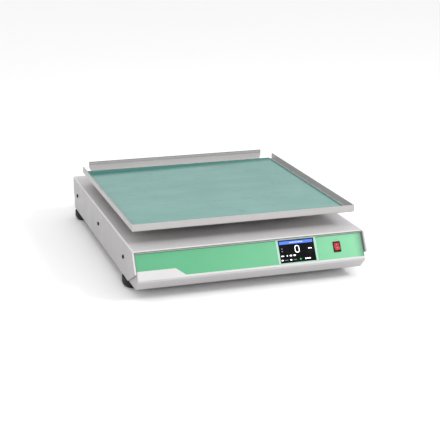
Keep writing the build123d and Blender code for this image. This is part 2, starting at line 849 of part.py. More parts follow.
inlet_screw = socket_screw(m3, inlet_flange + sheet + thread_spare, low=True)
with BuildPart() as inlet_screws:
    spots = [Location((inlet_x + i * inlet_screw_pitch / 2, inlet_face_y, inlet_z), (-90, 0, 0))
             for i in (-1, 1)]
    with Locations(spots):
        add(inlet_screw)
inlet_screws.part.label = "inlet_screws"

# ---------------------------------------------------------------- boards and power supply

supply_bay_x = supply_x + supply_length / 2 - supply_bay / 2
supply_top_z = floor_z + supply_height
with BuildPart() as power_supply:
    # Steel case open over its terminals, with a row of air slots
    with BuildSketch(Plane.XY.offset(floor_z)):
        with Locations((supply_x, supply_y)):
            Rectangle(supply_length, supply_width)
    extrude(amount=supply_height)
    with BuildSketch(Plane.XY.offset(supply_top_z)):
        with Locations((supply_bay_x, supply_y)):
            Rectangle(supply_bay, supply_width - 2 * supply_wall)
    extrude(amount=-supply_bay_depth, mode=Mode.SUBTRACT)
    with BuildSketch(Plane.XY.offset(supply_top_z - supply_bay_depth)):
        with Locations((supply_bay_x, supply_y)):
            with GridLocations(0, barrier_pitch, 1, barrier_count):
                Rectangle(barrier_length, barrier_thickness)
    extrude(amount=barrier_height)
    with BuildSketch(Plane.XY.offset(supply_top_z)):
        with Locations((supply_x - supply_bay / 2, supply_y)):
            with GridLocations(vent_pitch, 0, supply_slot_count, 1):
                SlotCenterToCenter(supply_slot_length, vent_width, rotation=90)
    extrude(amount=-sheet, mode=Mode.SUBTRACT)
power_supply.part.label = "power_supply"

board_z = floor_z + spacer_height
board_top_z = board_z + board_thickness
board_hole_x = control_board_width / 2 - board_hole_inset
board_hole_y = control_board_depth / 2 - board_hole_inset
board_corners = [(control_board_x + i * board_hole_x, control_board_y + j * board_hole_y)
                 for i in (-1, 1) for j in (-1, 1)]
with BuildPart() as control_board:
    with BuildSketch(Plane.XY.offset(board_z)):
        with Locations((control_board_x, control_board_y)):
            Rectangle(control_board_width, control_board_depth)
        with Locations(board_corners):
            Circle(m3 + hole_gap, mode=Mode.SUBTRACT)
    extrude(amount=board_thickness)
    # Finned heat sink, capacitors, relay and a row of plugs
    with BuildSketch(Plane.XY.offset(board_top_z)):
        with Locations((control_board_x + heat_sink_x, control_board_y + heat_sink_y)):
            with GridLocations(fin_pitch, 0, fin_count, 1):
                Rectangle(fin_thickness, heat_sink_length)
    extrude(amount=heat_sink_height)
    with BuildSketch(Plane.XY.offset(board_top_z)):
        with Locations((control_board_x + heat_sink_x, control_board_y + heat_sink_y)):
            Rectangle((fin_count - 1) * fin_pitch + fin_thickness, heat_sink_length)
    extrude(amount=heat_sink_base)
    with BuildSketch(Plane.XY.offset(board_top_z)):
        with Locations((control_board_x + capacitor_x, control_board_y + capacitor_y)):
            with GridLocations(capacitor_pitch, 0, 2, 1):
                Circle(capacitor_radius)
    extrude(amount=capacitor_height)
    with BuildSketch(Plane.XY.offset(board_top_z)):
        with Locations((control_board_x + plug_x, control_board_y + plug_y)):
            with GridLocations(plug_pitch, 0, plug_count, 1):
                Rectangle(plug_length, plug_width)
        with Locations((control_board_x + relay_x, control_board_y + relay_y)):
            Rectangle(relay_length, relay_width)
    extrude(amount=plug_height)
control_board.part.label = "control_board"

with BuildPart() as board_spacers:
    with BuildSketch(Plane.XY.offset(floor_z)):
        with Locations(board_corners):
            RegularPolygon(spacer_radius, 6)
    extrude(amount=spacer_height)
board_spacers.part.label = "board_spacers"

board_screw = socket_screw(m3, board_thickness, low=True)
with BuildPart() as board_screws:
    with Locations([(x, y, board_top_z) for x, y in board_corners]):
        add(board_screw)
board_screws.part.label = "board_screws"

# ---------------------------------------------------------------- pedestals and rocking shaft


def pedestal(y, seat_side):
    """Bearing pedestal at y. Its bearing seat opens towards seat_side, -1 front or 1 back."""
    with BuildPart() as block:
        with BuildSketch(front_view(y)) as outline:
            with BuildLine():
                Polyline(
                    (-pedestal_column / 2, floor_z), (-pedestal_head_radius, rock_z),
                    (pedestal_head_radius, rock_z), (pedestal_column / 2, floor_z), close=True,
                )
            make_face()
            with Locations((0, rock_z)):
                Circle(pedestal_head_radius)
            with Locations((0, floor_z + pedestal_base_height / 2)):
                Rectangle(pedestal_base, pedestal_base_height)
        extrude(amount=pedestal_thickness / 2, both=True)
        # Light opening through the column
        with BuildSketch(front_view(y)):
            low_z = floor_z + pedestal_base_height + pedestal_light_low
            high_z = rock_z - pedestal_head_radius - pedestal_light_high
            with BuildLine():
                Polyline(
                    (-pedestal_light_foot, low_z), (-pedestal_light_head, high_z),
                    (pedestal_light_head, high_z), (pedestal_light_foot, low_z), close=True,
                )
            make_face()
        extrude(amount=pedestal_thickness / 2, both=True, mode=Mode.SUBTRACT)
        with BuildSketch(Plane.XY.offset(floor_z + pedestal_base_height)):
            with Locations((-pedestal_bolt_offset, y), (pedestal_bolt_offset, y)):
                Circle(m6 + hole_gap)
        extrude(amount=-pedestal_base_height, mode=Mode.SUBTRACT)
        with BuildSketch(front_view(y)):
            with Locations((0, rock_z)):
                Circle(bearing_radius - bearing_shoulder)
        extrude(amount=pedestal_thickness / 2, both=True, mode=Mode.SUBTRACT)
        seat_y = y + seat_side * pedestal_thickness / 2
        with BuildSketch(front_view(seat_y)):
            with Locations((0, rock_z)):
                Circle(bearing_radius + seat_gap)
        extrude(amount=seat_side * bearing_width, mode=Mode.SUBTRACT)
    return block.part


pedestal_front = pedestal(pedestal_places[0], -1)
pedestal_front.label = "pedestal_front"
pedestal_rear = pedestal(pedestal_places[1], 1)
pedestal_rear.label = "pedestal_rear"

rock_bearing = ball_bearing(shaft_radius + running_gap, bearing_radius, bearing_width, bearing_ring)
with BuildPart() as rocker_bearings:
    with Locations(
        (0, pedestal_places[0] - pedestal_thickness / 2, rock_z),
        (0, pedestal_places[1] + pedestal_thickness / 2 - bearing_width, rock_z),
    ):
        add(rock_bearing)
rocker_bearings.part.label = "rocker_bearings"

pedestal_bolt = socket_screw(m6, pedestal_base_height + sheet)
with BuildPart() as pedestal_bolts:
    with Locations([(x, y, floor_z + pedestal_base_height) for y in pedestal_places
                    for x in (-pedestal_bolt_offset, pedestal_bolt_offset)]):
        add(pedestal_bolt)
pedestal_bolts.part.label = "pedestal_bolts"

with BuildPart() as rocker_shaft:
    with BuildSketch(front_view(platform_y)):
        with Locations((0, rock_z)):
            Circle(shaft_radius)
    extrude(amount=shaft_half_length, both=True)
    chamfer(rocker_shaft.edges(), shaft_chamfer)
rocker_shaft.part.label = "rocker_shaft"

collar_places = [platform_y + s * (pedestal_offset - pedestal_thickness / 2 - collar_gap - collar_width / 2)
                 for s in (-1, 1)]
with BuildPart() as shaft_collars:
    for y in collar_places:
        with BuildSketch(front_view(y)):
            with Locations((0, rock_z)):
                Circle(collar_radius)
                Circle(shaft_radius + seat_gap, mode=Mode.SUBTRACT)
        extrude(amount=collar_width / 2, both=True)
        with BuildSketch(Plane.XY.offset(rock_z + collar_radius)):
            with Locations((0, y)):
                Circle(m3)
        extrude(amount=-(collar_radius - shaft_radius), mode=Mode.SUBTRACT)
shaft_collars.part.label = "shaft_collars"

clamp_places = [platform_y - clamp_offset, platform_y + clamp_offset]
clamp_screw_places = [(x, y) for y in clamp_places for x in (-clamp_screw_offset, clamp_screw_offset)]
with BuildPart() as shaft_clamps:
    for y in clamp_places:
        with BuildSketch(front_view(y)):
            with Locations((0, rock_z)):
                Circle(clamp_radius)
            with Locations((0, (rock_z + carrier_z) / 2)):
                Rectangle(2 * clamp_radius, carrier_z - rock_z)
            with Locations((0, carrier_z - clamp_ear / 2)):
                Rectangle(clamp_width, clamp_ear)
            with Locations((0, rock_z)):
                Circle(shaft_radius + seat_gap, mode=Mode.SUBTRACT)
        extrude(amount=clamp_thickness / 2, both=True)
    with BuildSketch(Plane.XY.offset(carrier_z)):
        with Locations(clamp_screw_places):
            Circle(m5 + hole_gap)
    extrude(amount=-clamp_ear, mode=Mode.SUBTRACT)
shaft_clamps.part.label = "shaft_clamps"

clamp_screw = socket_screw(m5, clamp_ear + carrier_thickness)
with BuildPart() as clamp_screws:
    with Locations([Location((x, y, carrier_z - clamp_ear), (180, 0, 0)) for x, y in clamp_screw_places]):
        add(clamp_screw)
clamp_screws.part.label = "clamp_screws"

# ---------------------------------------------------------------- platform

carrier_bolt_places = [(i * carrier_screw_x, platform_y + j * carrier_screw_y)
                       for i in (-1, 1) for j in (-1, 1)]
yoke_screw_places = [(i * yoke_screw_x, platform_y + j * yoke_screw_y)
                     for i in (-1, 1) for j in (-1, 1)]

with BuildPart() as platform_tray:
    # Folded from one sheet: plate, low rims at the front and sides, taller rim at the back
    with BuildSketch(Plane.XY.offset(platform_z)):
        with Locations((0, platform_y)):
            Rectangle(platform_width, platform_depth)
    extrude(amount=rear_rim_height)
    fillet(platform_tray.edges().group_by(Axis.Z)[0], fold_radius)
    with BuildSketch(Plane.XY.offset(platform_top_z)):
        with Locations((0, platform_y)):
            Rectangle(platform_width - 2 * platform_sheet, platform_depth - 2 * platform_sheet)
    extrude(amount=rear_rim_height, mode=Mode.SUBTRACT)
    rear_inside_y = platform_rear_y - platform_sheet
    with BuildSketch(Plane.XY.offset(platform_z + rim_height)):
        with Locations((0, (platform_front_y + rear_inside_y) / 2)):
            Rectangle(platform_width, rear_inside_y - platform_front_y)
    extrude(amount=rear_rim_height, mode=Mode.SUBTRACT)
    # The rear rim's upper edge is folded back inside
    with BuildSketch(Plane.XY.offset(platform_z + rear_rim_height)):
        with Locations((rear_rim_x, rear_inside_y - rear_rim_hem / 2)):
            Rectangle(rear_rim_width, rear_rim_hem)
    extrude(amount=-rear_rim_hem_height)
    # Open rear corners, and the bend relief at the foot of the rear rim
    for side in (-1, 1):
        rim_end_x = rear_rim_x + side * rear_rim_width / 2
        corner_x = side * platform_width / 2
        with BuildSketch(Plane.XY.offset(platform_z)):
            with Locations(((rim_end_x + corner_x) / 2, platform_rear_y - rear_notch / 2)):
                Rectangle(abs(corner_x - rim_end_x), rear_notch)
        extrude(amount=rear_rim_height, mode=Mode.SUBTRACT)
        with BuildSketch(front_view(platform_rear_y)):
            with BuildLine():
                Polyline(
                    (rim_end_x, platform_z), (rim_end_x - side * relief_width, platform_z),
                    (rim_end_x, platform_z + relief_height), close=True,
                )
            make_face()
        extrude(amount=rear_notch, mode=Mode.SUBTRACT)
    # Countersunk holes for the screws that hold the carrier
    with BuildSketch(Plane.XY.offset(platform_top_z)):
        with Locations(carrier_bolt_places):
            Circle(m5 + hole_gap)
    extrude(amount=-platform_sheet, mode=Mode.SUBTRACT)
platform_tray.part.label = "platform_tray"

mat_width = platform_width - 2 * (platform_sheet + mat_side_gap)
mat_front_y = platform_front_y + platform_sheet + mat_front_gap
mat_rear_y = platform_rear_y - platform_sheet - mat_rear_gap
with BuildPart() as platform_mat:
    with BuildSketch(Plane.XY.offset(platform_top_z)):
        with Locations((0, (mat_front_y + mat_rear_y) / 2)):
            RectangleRounded(mat_width, mat_rear_y - mat_front_y, mat_corner)
    extrude(amount=mat_thickness)
    chamfer(platform_mat.edges().group_by(Axis.Z)[-1], mat_chamfer)
    # Pockets underneath for the flat heads of the carrier's screws
    with BuildSketch(Plane.XY.offset(platform_top_z)):
        with Locations(carrier_bolt_places):
            Circle(flat_head_radius + hole_gap)
    extrude(amount=flat_head + hole_gap, mode=Mode.SUBTRACT)
platform_mat.part.label = "platform_mat"

with BuildPart() as platform_carrier:
    with BuildSketch(Plane.XY.offset(carrier_z)):
        with Locations((0, platform_y)):
            RectangleRounded(carrier_width, carrier_length, carrier_corner)
            with GridLocations(carrier_window_pitch_x, carrier_window_pitch_y, 2, 3):
                RectangleRounded(
                    carrier_window, carrier_window, carrier_window_corner, mode=Mode.SUBTRACT,
                )
        with Locations(clamp_screw_places + yoke_screw_places + carrier_bolt_places):
            Circle(m5 + hole_gap, mode=Mode.SUBTRACT)
    extrude(amount=carrier_thickness)
platform_carrier.part.label = "platform_carrier"

platform_grip = platform_sheet + carrier_thickness + nut_height * m5
platform_screw = plain_screw(m5, platform_grip + thread_spare, flat_head_radius, flat_head)
with BuildPart() as platform_screws:
    # Low flat heads that lie in pockets on the mat's underside
    with Locations([(x, y, platform_top_z) for x, y in carrier_bolt_places]):
        add(platform_screw)
platform_screws.part.label = "platform_screws"

platform_nut = hex_nut(m5)
with BuildPart() as platform_nuts:
    with Locations([Location((x, y, carrier_z), (180, 0, 0)) for x, y in carrier_bolt_places]):
        add(platform_nut)
platform_nuts.part.label = "platform_nuts"

# ---------------------------------------------------------------- yoke

with BuildPart() as yoke_arm:
    # Plate that hangs from the carrier, bored for the shaft and slotted for the follower
    with BuildSketch(front_view(platform_y)) as yoke_outline:
        with Locations((0, (yoke_bottom_z + carrier_z) / 2)):
            Rectangle(yoke_width, carrier_z - yoke_bottom_z)
        fillet(yoke_outline.vertices().group_by(Axis.Y)[0], yoke_corner)
        with Locations((0, rock_z)):
            Circle(shaft_radius + seat_gap, mode=Mode.SUBTRACT)
        with Locations((0, rock_z - (slot_low + slot_high) / 2)):
            SlotCenterToCenter(slot_low - slot_high, slot_width, rotation=90, mode=Mode.SUBTRACT)
    extrude(amount=yoke_thickness / 2, both=True)
    with BuildSketch(Plane.XY.offset(carrier_z)):
        with Locations((0, platform_y)):
            Rectangle(yoke_width, yoke_flange)
    extrude(amount=-yoke_flange_height)
    with BuildSketch(Plane.XY.offset(carrier_z)):
        with Locations(yoke_screw_places):
            Circle(m4 + hole_gap)
    extrude(amount=-yoke_flange_height, mode=Mode.SUBTRACT)
yoke_arm.part.label = "yoke_arm"

yoke_screw = socket_screw(m4, yoke_flange_height + carrier_thickness, low=True)
with BuildPart() as yoke_screws:
    spots = [Location((x, y, carrier_z - yoke_flange_height), (180, 0, 0))
             for x, y in yoke_screw_places]
    with Locations(spots):
        add(yoke_screw)
yoke_screws.part.label = "yoke_screws"

# ---------------------------------------------------------------- eccentric drive

shaft_end_y = pulley_y + pulley_width + shaft_spare
with BuildPart() as eccentric_shaft:
    with BuildSketch(front_view(flange_y)):
        with Locations((0, eccentric_z)):
            Circle(shaft_radius)
    extrude(amount=-(shaft_end_y - flange_y))
    with BuildSketch(front_view(flange_y)):
        with Locations((0, eccentric_z)):
            Circle(flange_radius)
        with Locations((0, pin_z)):
            Circle(pin_radius + seat_gap, mode=Mode.SUBTRACT)
    extrude(amount=-flange_width)
    with BuildSketch(front_view(flange_y)):
        with Locations((0, pin_z)):
            Circle(pin_radius + seat_gap)
    extrude(amount=-flange_width, mode=Mode.SUBTRACT)
eccentric_shaft.part.label = "eccentric_shaft"

follower_y = platform_y - follower_width / 2
with BuildPart() as crank_pin:
    with BuildSketch(front_view(follower_y - pin_head)):
        with Locations((0, pin_z)):
            Circle(pin_head_radius)
    extrude(amount=-pin_head)
    with BuildSketch(front_view(follower_y)):
        with Locations((0, pin_z)):
            Circle(pin_radius)
    extrude(amount=-(flange_y + flange_width - follower_y))
    with BuildSketch(front_view(follower_y + follower_width)):
        with Locations((0, pin_z)):
            Circle(pin_shoulder_radius)
    extrude(amount=-(flange_y - follower_y - follower_width))
crank_pin.part.label = "crank_pin"

follower = ball_bearing(pin_radius + seat_gap, follower_radius, follower_width, follower_ring)
with BuildPart() as follower_bearing:
    with Locations((0, follower_y, pin_z)):
        add(follower)
follower_bearing.part.label = "follower_bearing"

barrel_screws = [(barrel_screw_circle * cos(a), eccentric_z + barrel_screw_circle * sin(a))
                 for a in (radians(45 + 90 * i) for i in range(4))]
with BuildPart() as eccentric_housing:
    with BuildSketch(front_view(barrel_y)):
        with Locations((0, eccentric_z)):
            Circle(barrel_radius)
    extrude(amount=-barrel_length)
    with BuildSketch(front_view(bracket_y)):
        with Locations((0, eccentric_z)):
            Circle(barrel_flange_radius)
    extrude(amount=barrel_flange)
    with BuildSketch(front_view(bracket_y)):
        with Locations((0, eccentric_z)):
            Circle(housing_bore)
    extrude(amount=barrel_length, mode=Mode.SUBTRACT)
    with BuildSketch(front_view(barrel_y)):
        with Locations((0, eccentric_z)):
            Circle(bearing_radius + seat_gap)
    extrude(amount=-bearing_width, mode=Mode.SUBTRACT)
    with BuildSketch(front_view(bracket_y)):
        with Locations((0, eccentric_z)):
            Circle(bearing_radius + seat_gap)
    extrude(amount=bearing_width, mode=Mode.SUBTRACT)
    with BuildSketch(front_view(bracket_y)):
        with Locations(barrel_screws):
            Circle(m4 + hole_gap)
    extrude(amount=barrel_flange, mode=Mode.SUBTRACT)
eccentric_housing.part.label = "eccentric_housing"

with BuildPart() as eccentric_bearings:
    with Locations((0, barrel_y, eccentric_z), (0, bracket_y - bearing_width, eccentric_z)):
        add(rock_bearing)
eccentric_bearings.part.label = "eccentric_bearings"

motor_screw_places = [
    (motor_offset + motor_screw_circle * cos(a), eccentric_z + motor_screw_circle * sin(a))
    for a in (radians(45 + 90 * i) for i in range(4))
]
bracket_middle = (bracket_right - bracket_left) / 2
bracket_span = bracket_left + bracket_right
with BuildPart() as drive_bracket:
    with BuildSketch(front_view(bracket_y)) as bracket_outline:
        with Locations((bracket_middle, floor_z + bracket_height / 2)):
            Rectangle(bracket_span, bracket_height)
        fillet(bracket_outline.vertices().group_by(Axis.Y)[-1], bracket_corner)
        with Locations((0, eccentric_z)):
            Circle(shaft_radius + shaft_clearance, mode=Mode.SUBTRACT)
        with Locations((motor_offset, eccentric_z)):
            Circle(motor_pilot_radius + hole_gap, mode=Mode.SUBTRACT)
        with Locations(barrel_screws + motor_screw_places):
            Circle(m4 + hole_gap, mode=Mode.SUBTRACT)
    extrude(amount=-bracket_sheet)
    with BuildSketch(Plane.XY.offset(floor_z)):
        with Locations((bracket_middle, bracket_y + bracket_sheet + bracket_foot / 2)):
            Rectangle(bracket_span, bracket_foot)
        with Locations([(x, bracket_foot_y) for x in bracket_bolts]):
            Circle(m5 + hole_gap, mode=Mode.SUBTRACT)
    extrude(amount=bracket_sheet)
drive_bracket.part.label = "drive_bracket"

bracket_bolt = socket_screw(m5, bracket_sheet + sheet, low=True)
with BuildPart() as bracket_screws:
    with Locations([(x, bracket_foot_y, floor_z + bracket_sheet) for x in bracket_bolts]):
        add(bracket_bolt)
bracket_screws.part.label = "bracket_screws"

housing_screw = socket_screw(m4, barrel_flange + bracket_sheet)
with BuildPart() as housing_screws:
    spots = [Location((x, bracket_y - barrel_flange, z), (90, 0, 0)) for x, z in barrel_screws]
    with Locations(spots):
        add(housing_screw)
housing_screws.part.label = "housing_screws"

# ---------------------------------------------------------------- gear motor and belt

gearbox_y = bracket_y - gearbox_length
motor_back_y = gearbox_y - motor_length
with BuildPart() as gear_motor:
    with BuildSketch(front_view(bracket_y)):
        with Locations((motor_offset, eccentric_z)):
            Circle(gearbox_radius)
    extrude(amount=gearbox_length)
    with BuildSketch(front_view(bracket_y)):
        with Locations((motor_offset, eccentric_z)):
            Circle(motor_pilot_radius)
    extrude(amount=motor_pilot_recess - bracket_sheet)
    with BuildSketch(front_view(gearbox_y)):
        with Locations((motor_offset, eccentric_z)):
            Circle(motor_radius)
    extrude(amount=motor_length)
    chamfer(gear_motor.edges().group_by(Axis.Y)[0], motor_chamfer)
    with BuildSketch(front_view(motor_back_y)):
        with Locations((motor_offset, eccentric_z)):
            Circle(motor_cap_radius)
        with Locations((motor_offset, eccentric_z + motor_plug_offset)):
            Rectangle(motor_plug_width, motor_plug_height)
    extrude(amount=motor_cap)
    # Bore for the output shaft, and the threads in the gearbox's face
    with BuildSketch(front_view(bracket_y + bracket_sheet)):
        with Locations((motor_offset, eccentric_z)):
            Circle(motor_shaft_radius + running_gap)
    extrude(amount=bracket_sheet + motor_shaft_depth, mode=Mode.SUBTRACT)
    with BuildSketch(front_view(bracket_y)):
        with Locations(motor_screw_places):
            Circle(m4 + seat_gap)
    extrude(amount=motor_thread, mode=Mode.SUBTRACT)
gear_motor.part.label = "gear_motor"

motor_screw = socket_screw(m4, bracket_sheet + motor_thread_grip, low=True)
with BuildPart() as motor_screws:
    spots = [Location((x, bracket_y + bracket_sheet, z), (-90, 0, 0)) for x, z in motor_screw_places]
    with Locations(spots):
        add(motor_screw)
motor_screws.part.label = "motor_screws"

motor_shaft_y = bracket_y - motor_shaft_depth + shaft_end_gap
with BuildPart() as motor_shaft:
    with BuildSketch(front_view(motor_shaft_y)):
        with Locations((motor_offset, eccentric_z)):
            Circle(motor_shaft_radius)
    extrude(amount=motor_shaft_y - shaft_end_y)
    chamfer(motor_shaft.edges().group_by(Axis.Y)[-1], shaft_chamfer)
motor_shaft.part.label = "motor_shaft"

driven = toothed_pulley(driven_teeth, driven_radius, shaft_radius)
with BuildPart() as driven_pulley:
    with Locations((0, pulley_y, eccentric_z)):
        add(driven)
driven_pulley.part.label = "driven_pulley"

driving = toothed_pulley(driving_teeth, driving_radius, motor_shaft_radius)
with BuildPart() as motor_pulley:
    with Locations((motor_offset, pulley_y, eccentric_z)):
        add(driving)
motor_pulley.part.label = "motor_pulley"

with BuildPart() as drive_belt:
    belt_y = pulley_y + pulley_width / 2
    with BuildSketch(front_view(belt_y)):
        with Locations((0, eccentric_z)):
            Circle(driven_radius + belt_gap + belt_thickness)
        with Locations((motor_offset, eccentric_z)):
            Circle(driving_radius + belt_gap + belt_thickness)
        make_hull()
    extrude(amount=belt_width / 2, both=True)
    with BuildSketch(front_view(belt_y)):
        with Locations((0, eccentric_z)):
            Circle(driven_radius + belt_gap)
        with Locations((motor_offset, eccentric_z)):
            Circle(driving_radius + belt_gap)
        make_hull()
    extrude(amount=belt_width / 2, both=True, mode=Mode.SUBTRACT)
drive_belt.part.label = "drive_belt"

# ---------------------------------------------------------------- export

pieces = [
    base_tray, cover, cover_screws, cover_nuts, feet, foot_screws, foot_nuts,
    front_overlay, display_frame, display_glass, display_module, display_spacers, display_screws,
    power_switch_body, switch_rocker, power_inlet, inlet_screws,
    power_supply, control_board, board_spacers, board_screws,
    rocker_bearings, pedestal_bolts, rocker_shaft, shaft_collars, shaft_clamps, clamp_screws,
    platform_tray, platform_mat, platform_carrier, platform_screws, platform_nuts,
    yoke_arm, yoke_screws, eccentric_shaft, crank_pin, follower_bearing, eccentric_housing,
    eccentric_bearings, drive_bracket, bracket_screws, housing_screws,
    gear_motor, motor_screws, motor_shaft, driven_pulley, motor_pulley, drive_belt,
]
shapes = [piece.part for piece in pieces] + [pedestal_front, pedestal_rear]

os.makedirs("parts", exist_ok=True)
for shape in shapes:
    export_step(shape, f"parts/{shape.label}.step")
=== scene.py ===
"""Looks of the rocking platform shaker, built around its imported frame."""

from math import cos, pi, radians, sin

import bmesh
import bpy
from mathutils import Matrix, Vector

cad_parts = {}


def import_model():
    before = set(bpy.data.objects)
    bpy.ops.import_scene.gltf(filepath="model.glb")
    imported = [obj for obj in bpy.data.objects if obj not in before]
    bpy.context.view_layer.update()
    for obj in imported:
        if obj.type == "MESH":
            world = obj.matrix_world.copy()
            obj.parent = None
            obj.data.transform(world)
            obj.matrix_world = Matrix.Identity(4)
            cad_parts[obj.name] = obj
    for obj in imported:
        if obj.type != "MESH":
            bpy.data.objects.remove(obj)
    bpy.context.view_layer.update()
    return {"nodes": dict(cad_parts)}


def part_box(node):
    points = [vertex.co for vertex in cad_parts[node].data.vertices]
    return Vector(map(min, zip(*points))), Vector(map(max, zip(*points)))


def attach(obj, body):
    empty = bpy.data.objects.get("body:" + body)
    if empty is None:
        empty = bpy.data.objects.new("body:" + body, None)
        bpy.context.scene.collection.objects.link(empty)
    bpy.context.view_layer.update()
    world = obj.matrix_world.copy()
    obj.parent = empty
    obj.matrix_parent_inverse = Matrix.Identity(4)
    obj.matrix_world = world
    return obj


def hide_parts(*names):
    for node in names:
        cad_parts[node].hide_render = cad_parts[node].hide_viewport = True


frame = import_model()

bl_info = {
    "name": "Rocking Platform Shaker",
    "version": (1, 0, 0),
    "blender": (4, 5, 0),
    "location": "View3D > Sidebar > Shaker",
    "description": "Finishes, printed film, screen picture and studio for a rocking platform shaker",
    "category": "Object",
}

MM = 0.001
PANEL_TILT = radians(30)                       # control panel, from upright
PANEL_UP = Vector((0, sin(PANEL_TILT), cos(PANEL_TILT)))
PANEL_OUT = Vector((0, -cos(PANEL_TILT), sin(PANEL_TILT)))
ACROSS = Vector((1, 0, 0))
BACKWARD = Vector((0, 1, 0))
UPWARD = Vector((0, 0, 1))
SAME_PLACE = 1e-6                              # closer than this is the same height


def reach(node, axis):
    """Lowest and highest place of a frame node's mesh along an axis."""
    places = [v.co.dot(axis) for v in frame["nodes"][node].data.vertices]
    return min(places), max(places)


def node_middle(node, axis):
    """Middle of a frame node along an axis."""
    return sum(reach(node, axis)) / 2


PANEL_FACE = reach("front_overlay", PANEL_OUT)[1]
GLASS_FACE = reach("display_glass", PANEL_OUT)[1]
SWITCH_TOP = reach("power_switch_body", PANEL_UP)[1]
SCREEN_WIDTH = reach("display_glass", ACROSS)[1] - reach("display_glass", ACROSS)[0]
SCREEN_HEIGHT = reach("display_glass", PANEL_UP)[1] - reach("display_glass", PANEL_UP)[0]
NOUGHT_ROW = 0.575                             # rows of the picture, as shares of its height
UNIT_ROW = 0.56
SET_ROW = 0.31
TAB_ROW = 0.125
DIM_ROW = 0.12


# ---------------------------------------------------------------- settings


def colour(name, description, default):
    """Colour property, as a painter would pick it."""
    return bpy.props.FloatVectorProperty(
        name=name, description=description, default=default, size=3,
        min=0.0, max=1.0, subtype="COLOR",
    )


def length(name, description, default):
    """Length property in metres."""
    return bpy.props.FloatProperty(
        name=name, description=description, default=default, min=0.0,
        subtype="DISTANCE", unit="LENGTH", precision=5,
    )


def share(name, description, default, most=1.0):
    """Plain number property, from 0 to its highest value."""
    return bpy.props.FloatProperty(
        name=name, description=description, default=default, min=0.0, max=most,
    )


def angle(name, description, degrees):
    """Angle property, from its value in degrees."""
    return bpy.props.FloatProperty(
        name=name, description=description, default=radians(degrees), subtype="ANGLE", unit="ROTATION",
    )


class ShakerPaint(bpy.types.PropertyGroup):
    """Colours and grain of the painted sheet metal."""

    shell: colour("Housing", "Powder coat of the housing", (0.440, 0.428, 0.430))
    platform: colour("Platform", "Powder coat of the platform", (0.402, 0.388, 0.385))
    grain: length("Grain", "Size of the coat's fine grain", 1.2 * MM)
    relief: length("Relief", "Height of the coat's grain", 0.03 * MM)
    gloss_spread: share("Roughness", "Roughness of the coat", 0.42)
    # Painted light: this level lightens the coat on the cover's top and on the platform behind its front
    # rim; the next two say where it starts
    painted_light_level: share("Dust", "How much paler settled dust makes the coat", 1.22, 3.0)
    painted_light_depth: length("Dust depth", "How far below the cover's top the dust starts", 0.9 * MM)
    painted_light_start: length("Dust start", "How far behind the front rim the dust starts", 2.0 * MM)
    fold_foot: length("Fold foot", "Height of the lower edge of the cover's front fold", 90.5 * MM)
    # Width of the painted highlight along the cover's side folds
    fold: length("Fold", "Width of the burnish along the cover's side folds", 2.4 * MM)
    # Depth of the painted highlight and painted shade on the cover's front edges
    front_edge: length("Front edge", "Depth of the marks on the cover's front edges", 1.4 * MM)
    cheek: length("Cheek", "Width of the folded front edges of the cover's sides", 3.0 * MM)
    screw_head: length("Screw head", "How far the side screws stand out", 2.2 * MM)
    shade: colour("Shade", "Colour of the shade under the front fold", (0.010, 0.055, 0.028))
    shade_depth: length("Shade depth", "How far back the shade reaches", 4.0 * MM)
    shade_rise: length("Shade rise", "How far the shade reaches up the front fold", 2.1 * MM)
    rim_step: length("Rim step", "How much higher the rear rim is than the others", 6.5 * MM)
    rear_strip: length("Rear strip", "Depth of the strip that the rear rim stands in", 8.0 * MM)
    rear_edge: length("Rear edge", "Width of the dark edge along the rear rim's top", 1.5 * MM)
    rim_edge: length("Rim edge", "Width of the dark edge along the other rims' tops", 0.6 * MM)
    # Upper and lower side of the painted shade under the rear rim's fold
    line_top: length("Line top", "Upper side of the rear rim's line, below its top", 5.2 * MM)
    line_foot: length("Line foot", "Lower side of the rear rim's line, below its top", 7.2 * MM)


class ShakerPrint(bpy.types.PropertyGroup):
    """Layout and colours of the printed film on the control panel."""

    green_left: colour("Green, left", "Field colour at the left end", (0.050, 0.290, 0.135))
    green_right: colour("Green, right", "Field colour at the right end", (0.140, 0.440, 0.235))
    white: colour("White", "White part of the print", (0.480, 0.475, 0.475))
    film_foot: length("Film foot", "Film's lower edge above the nose", 3.0 * MM)
    field_top: length("Field top", "Upper edge of the green field above the nose", 57.3 * MM)
    field_bottom: length("Field bottom", "Lower edge of the green field above the nose", 6.8 * MM)
    notch_top: length("Notch top", "Upper edge of the white notch above the nose", 21.0 * MM)
    notch_from: length("Notch end", "Where the notch's slope starts, left of the middle", 153.5 * MM)
    notch_to: length("Notch foot", "Where the notch's slope ends, left of the middle", 135.2 * MM)
    # Painted shade along the green field's top and right edges: its colour and how far it reaches
    edge: colour("Edge", "Colour of the field along its top and right edges", (0.010, 0.105, 0.045))
    edge_top: length("Top edge", "Where the field is darkest, above the nose", 55.4 * MM)
    edge_width: length("Edge width", "Width of the darker edge along the top", 3.2 * MM)
    edge_side: length("Side edge", "Width of the darker edge at the right", 20.0 * MM)


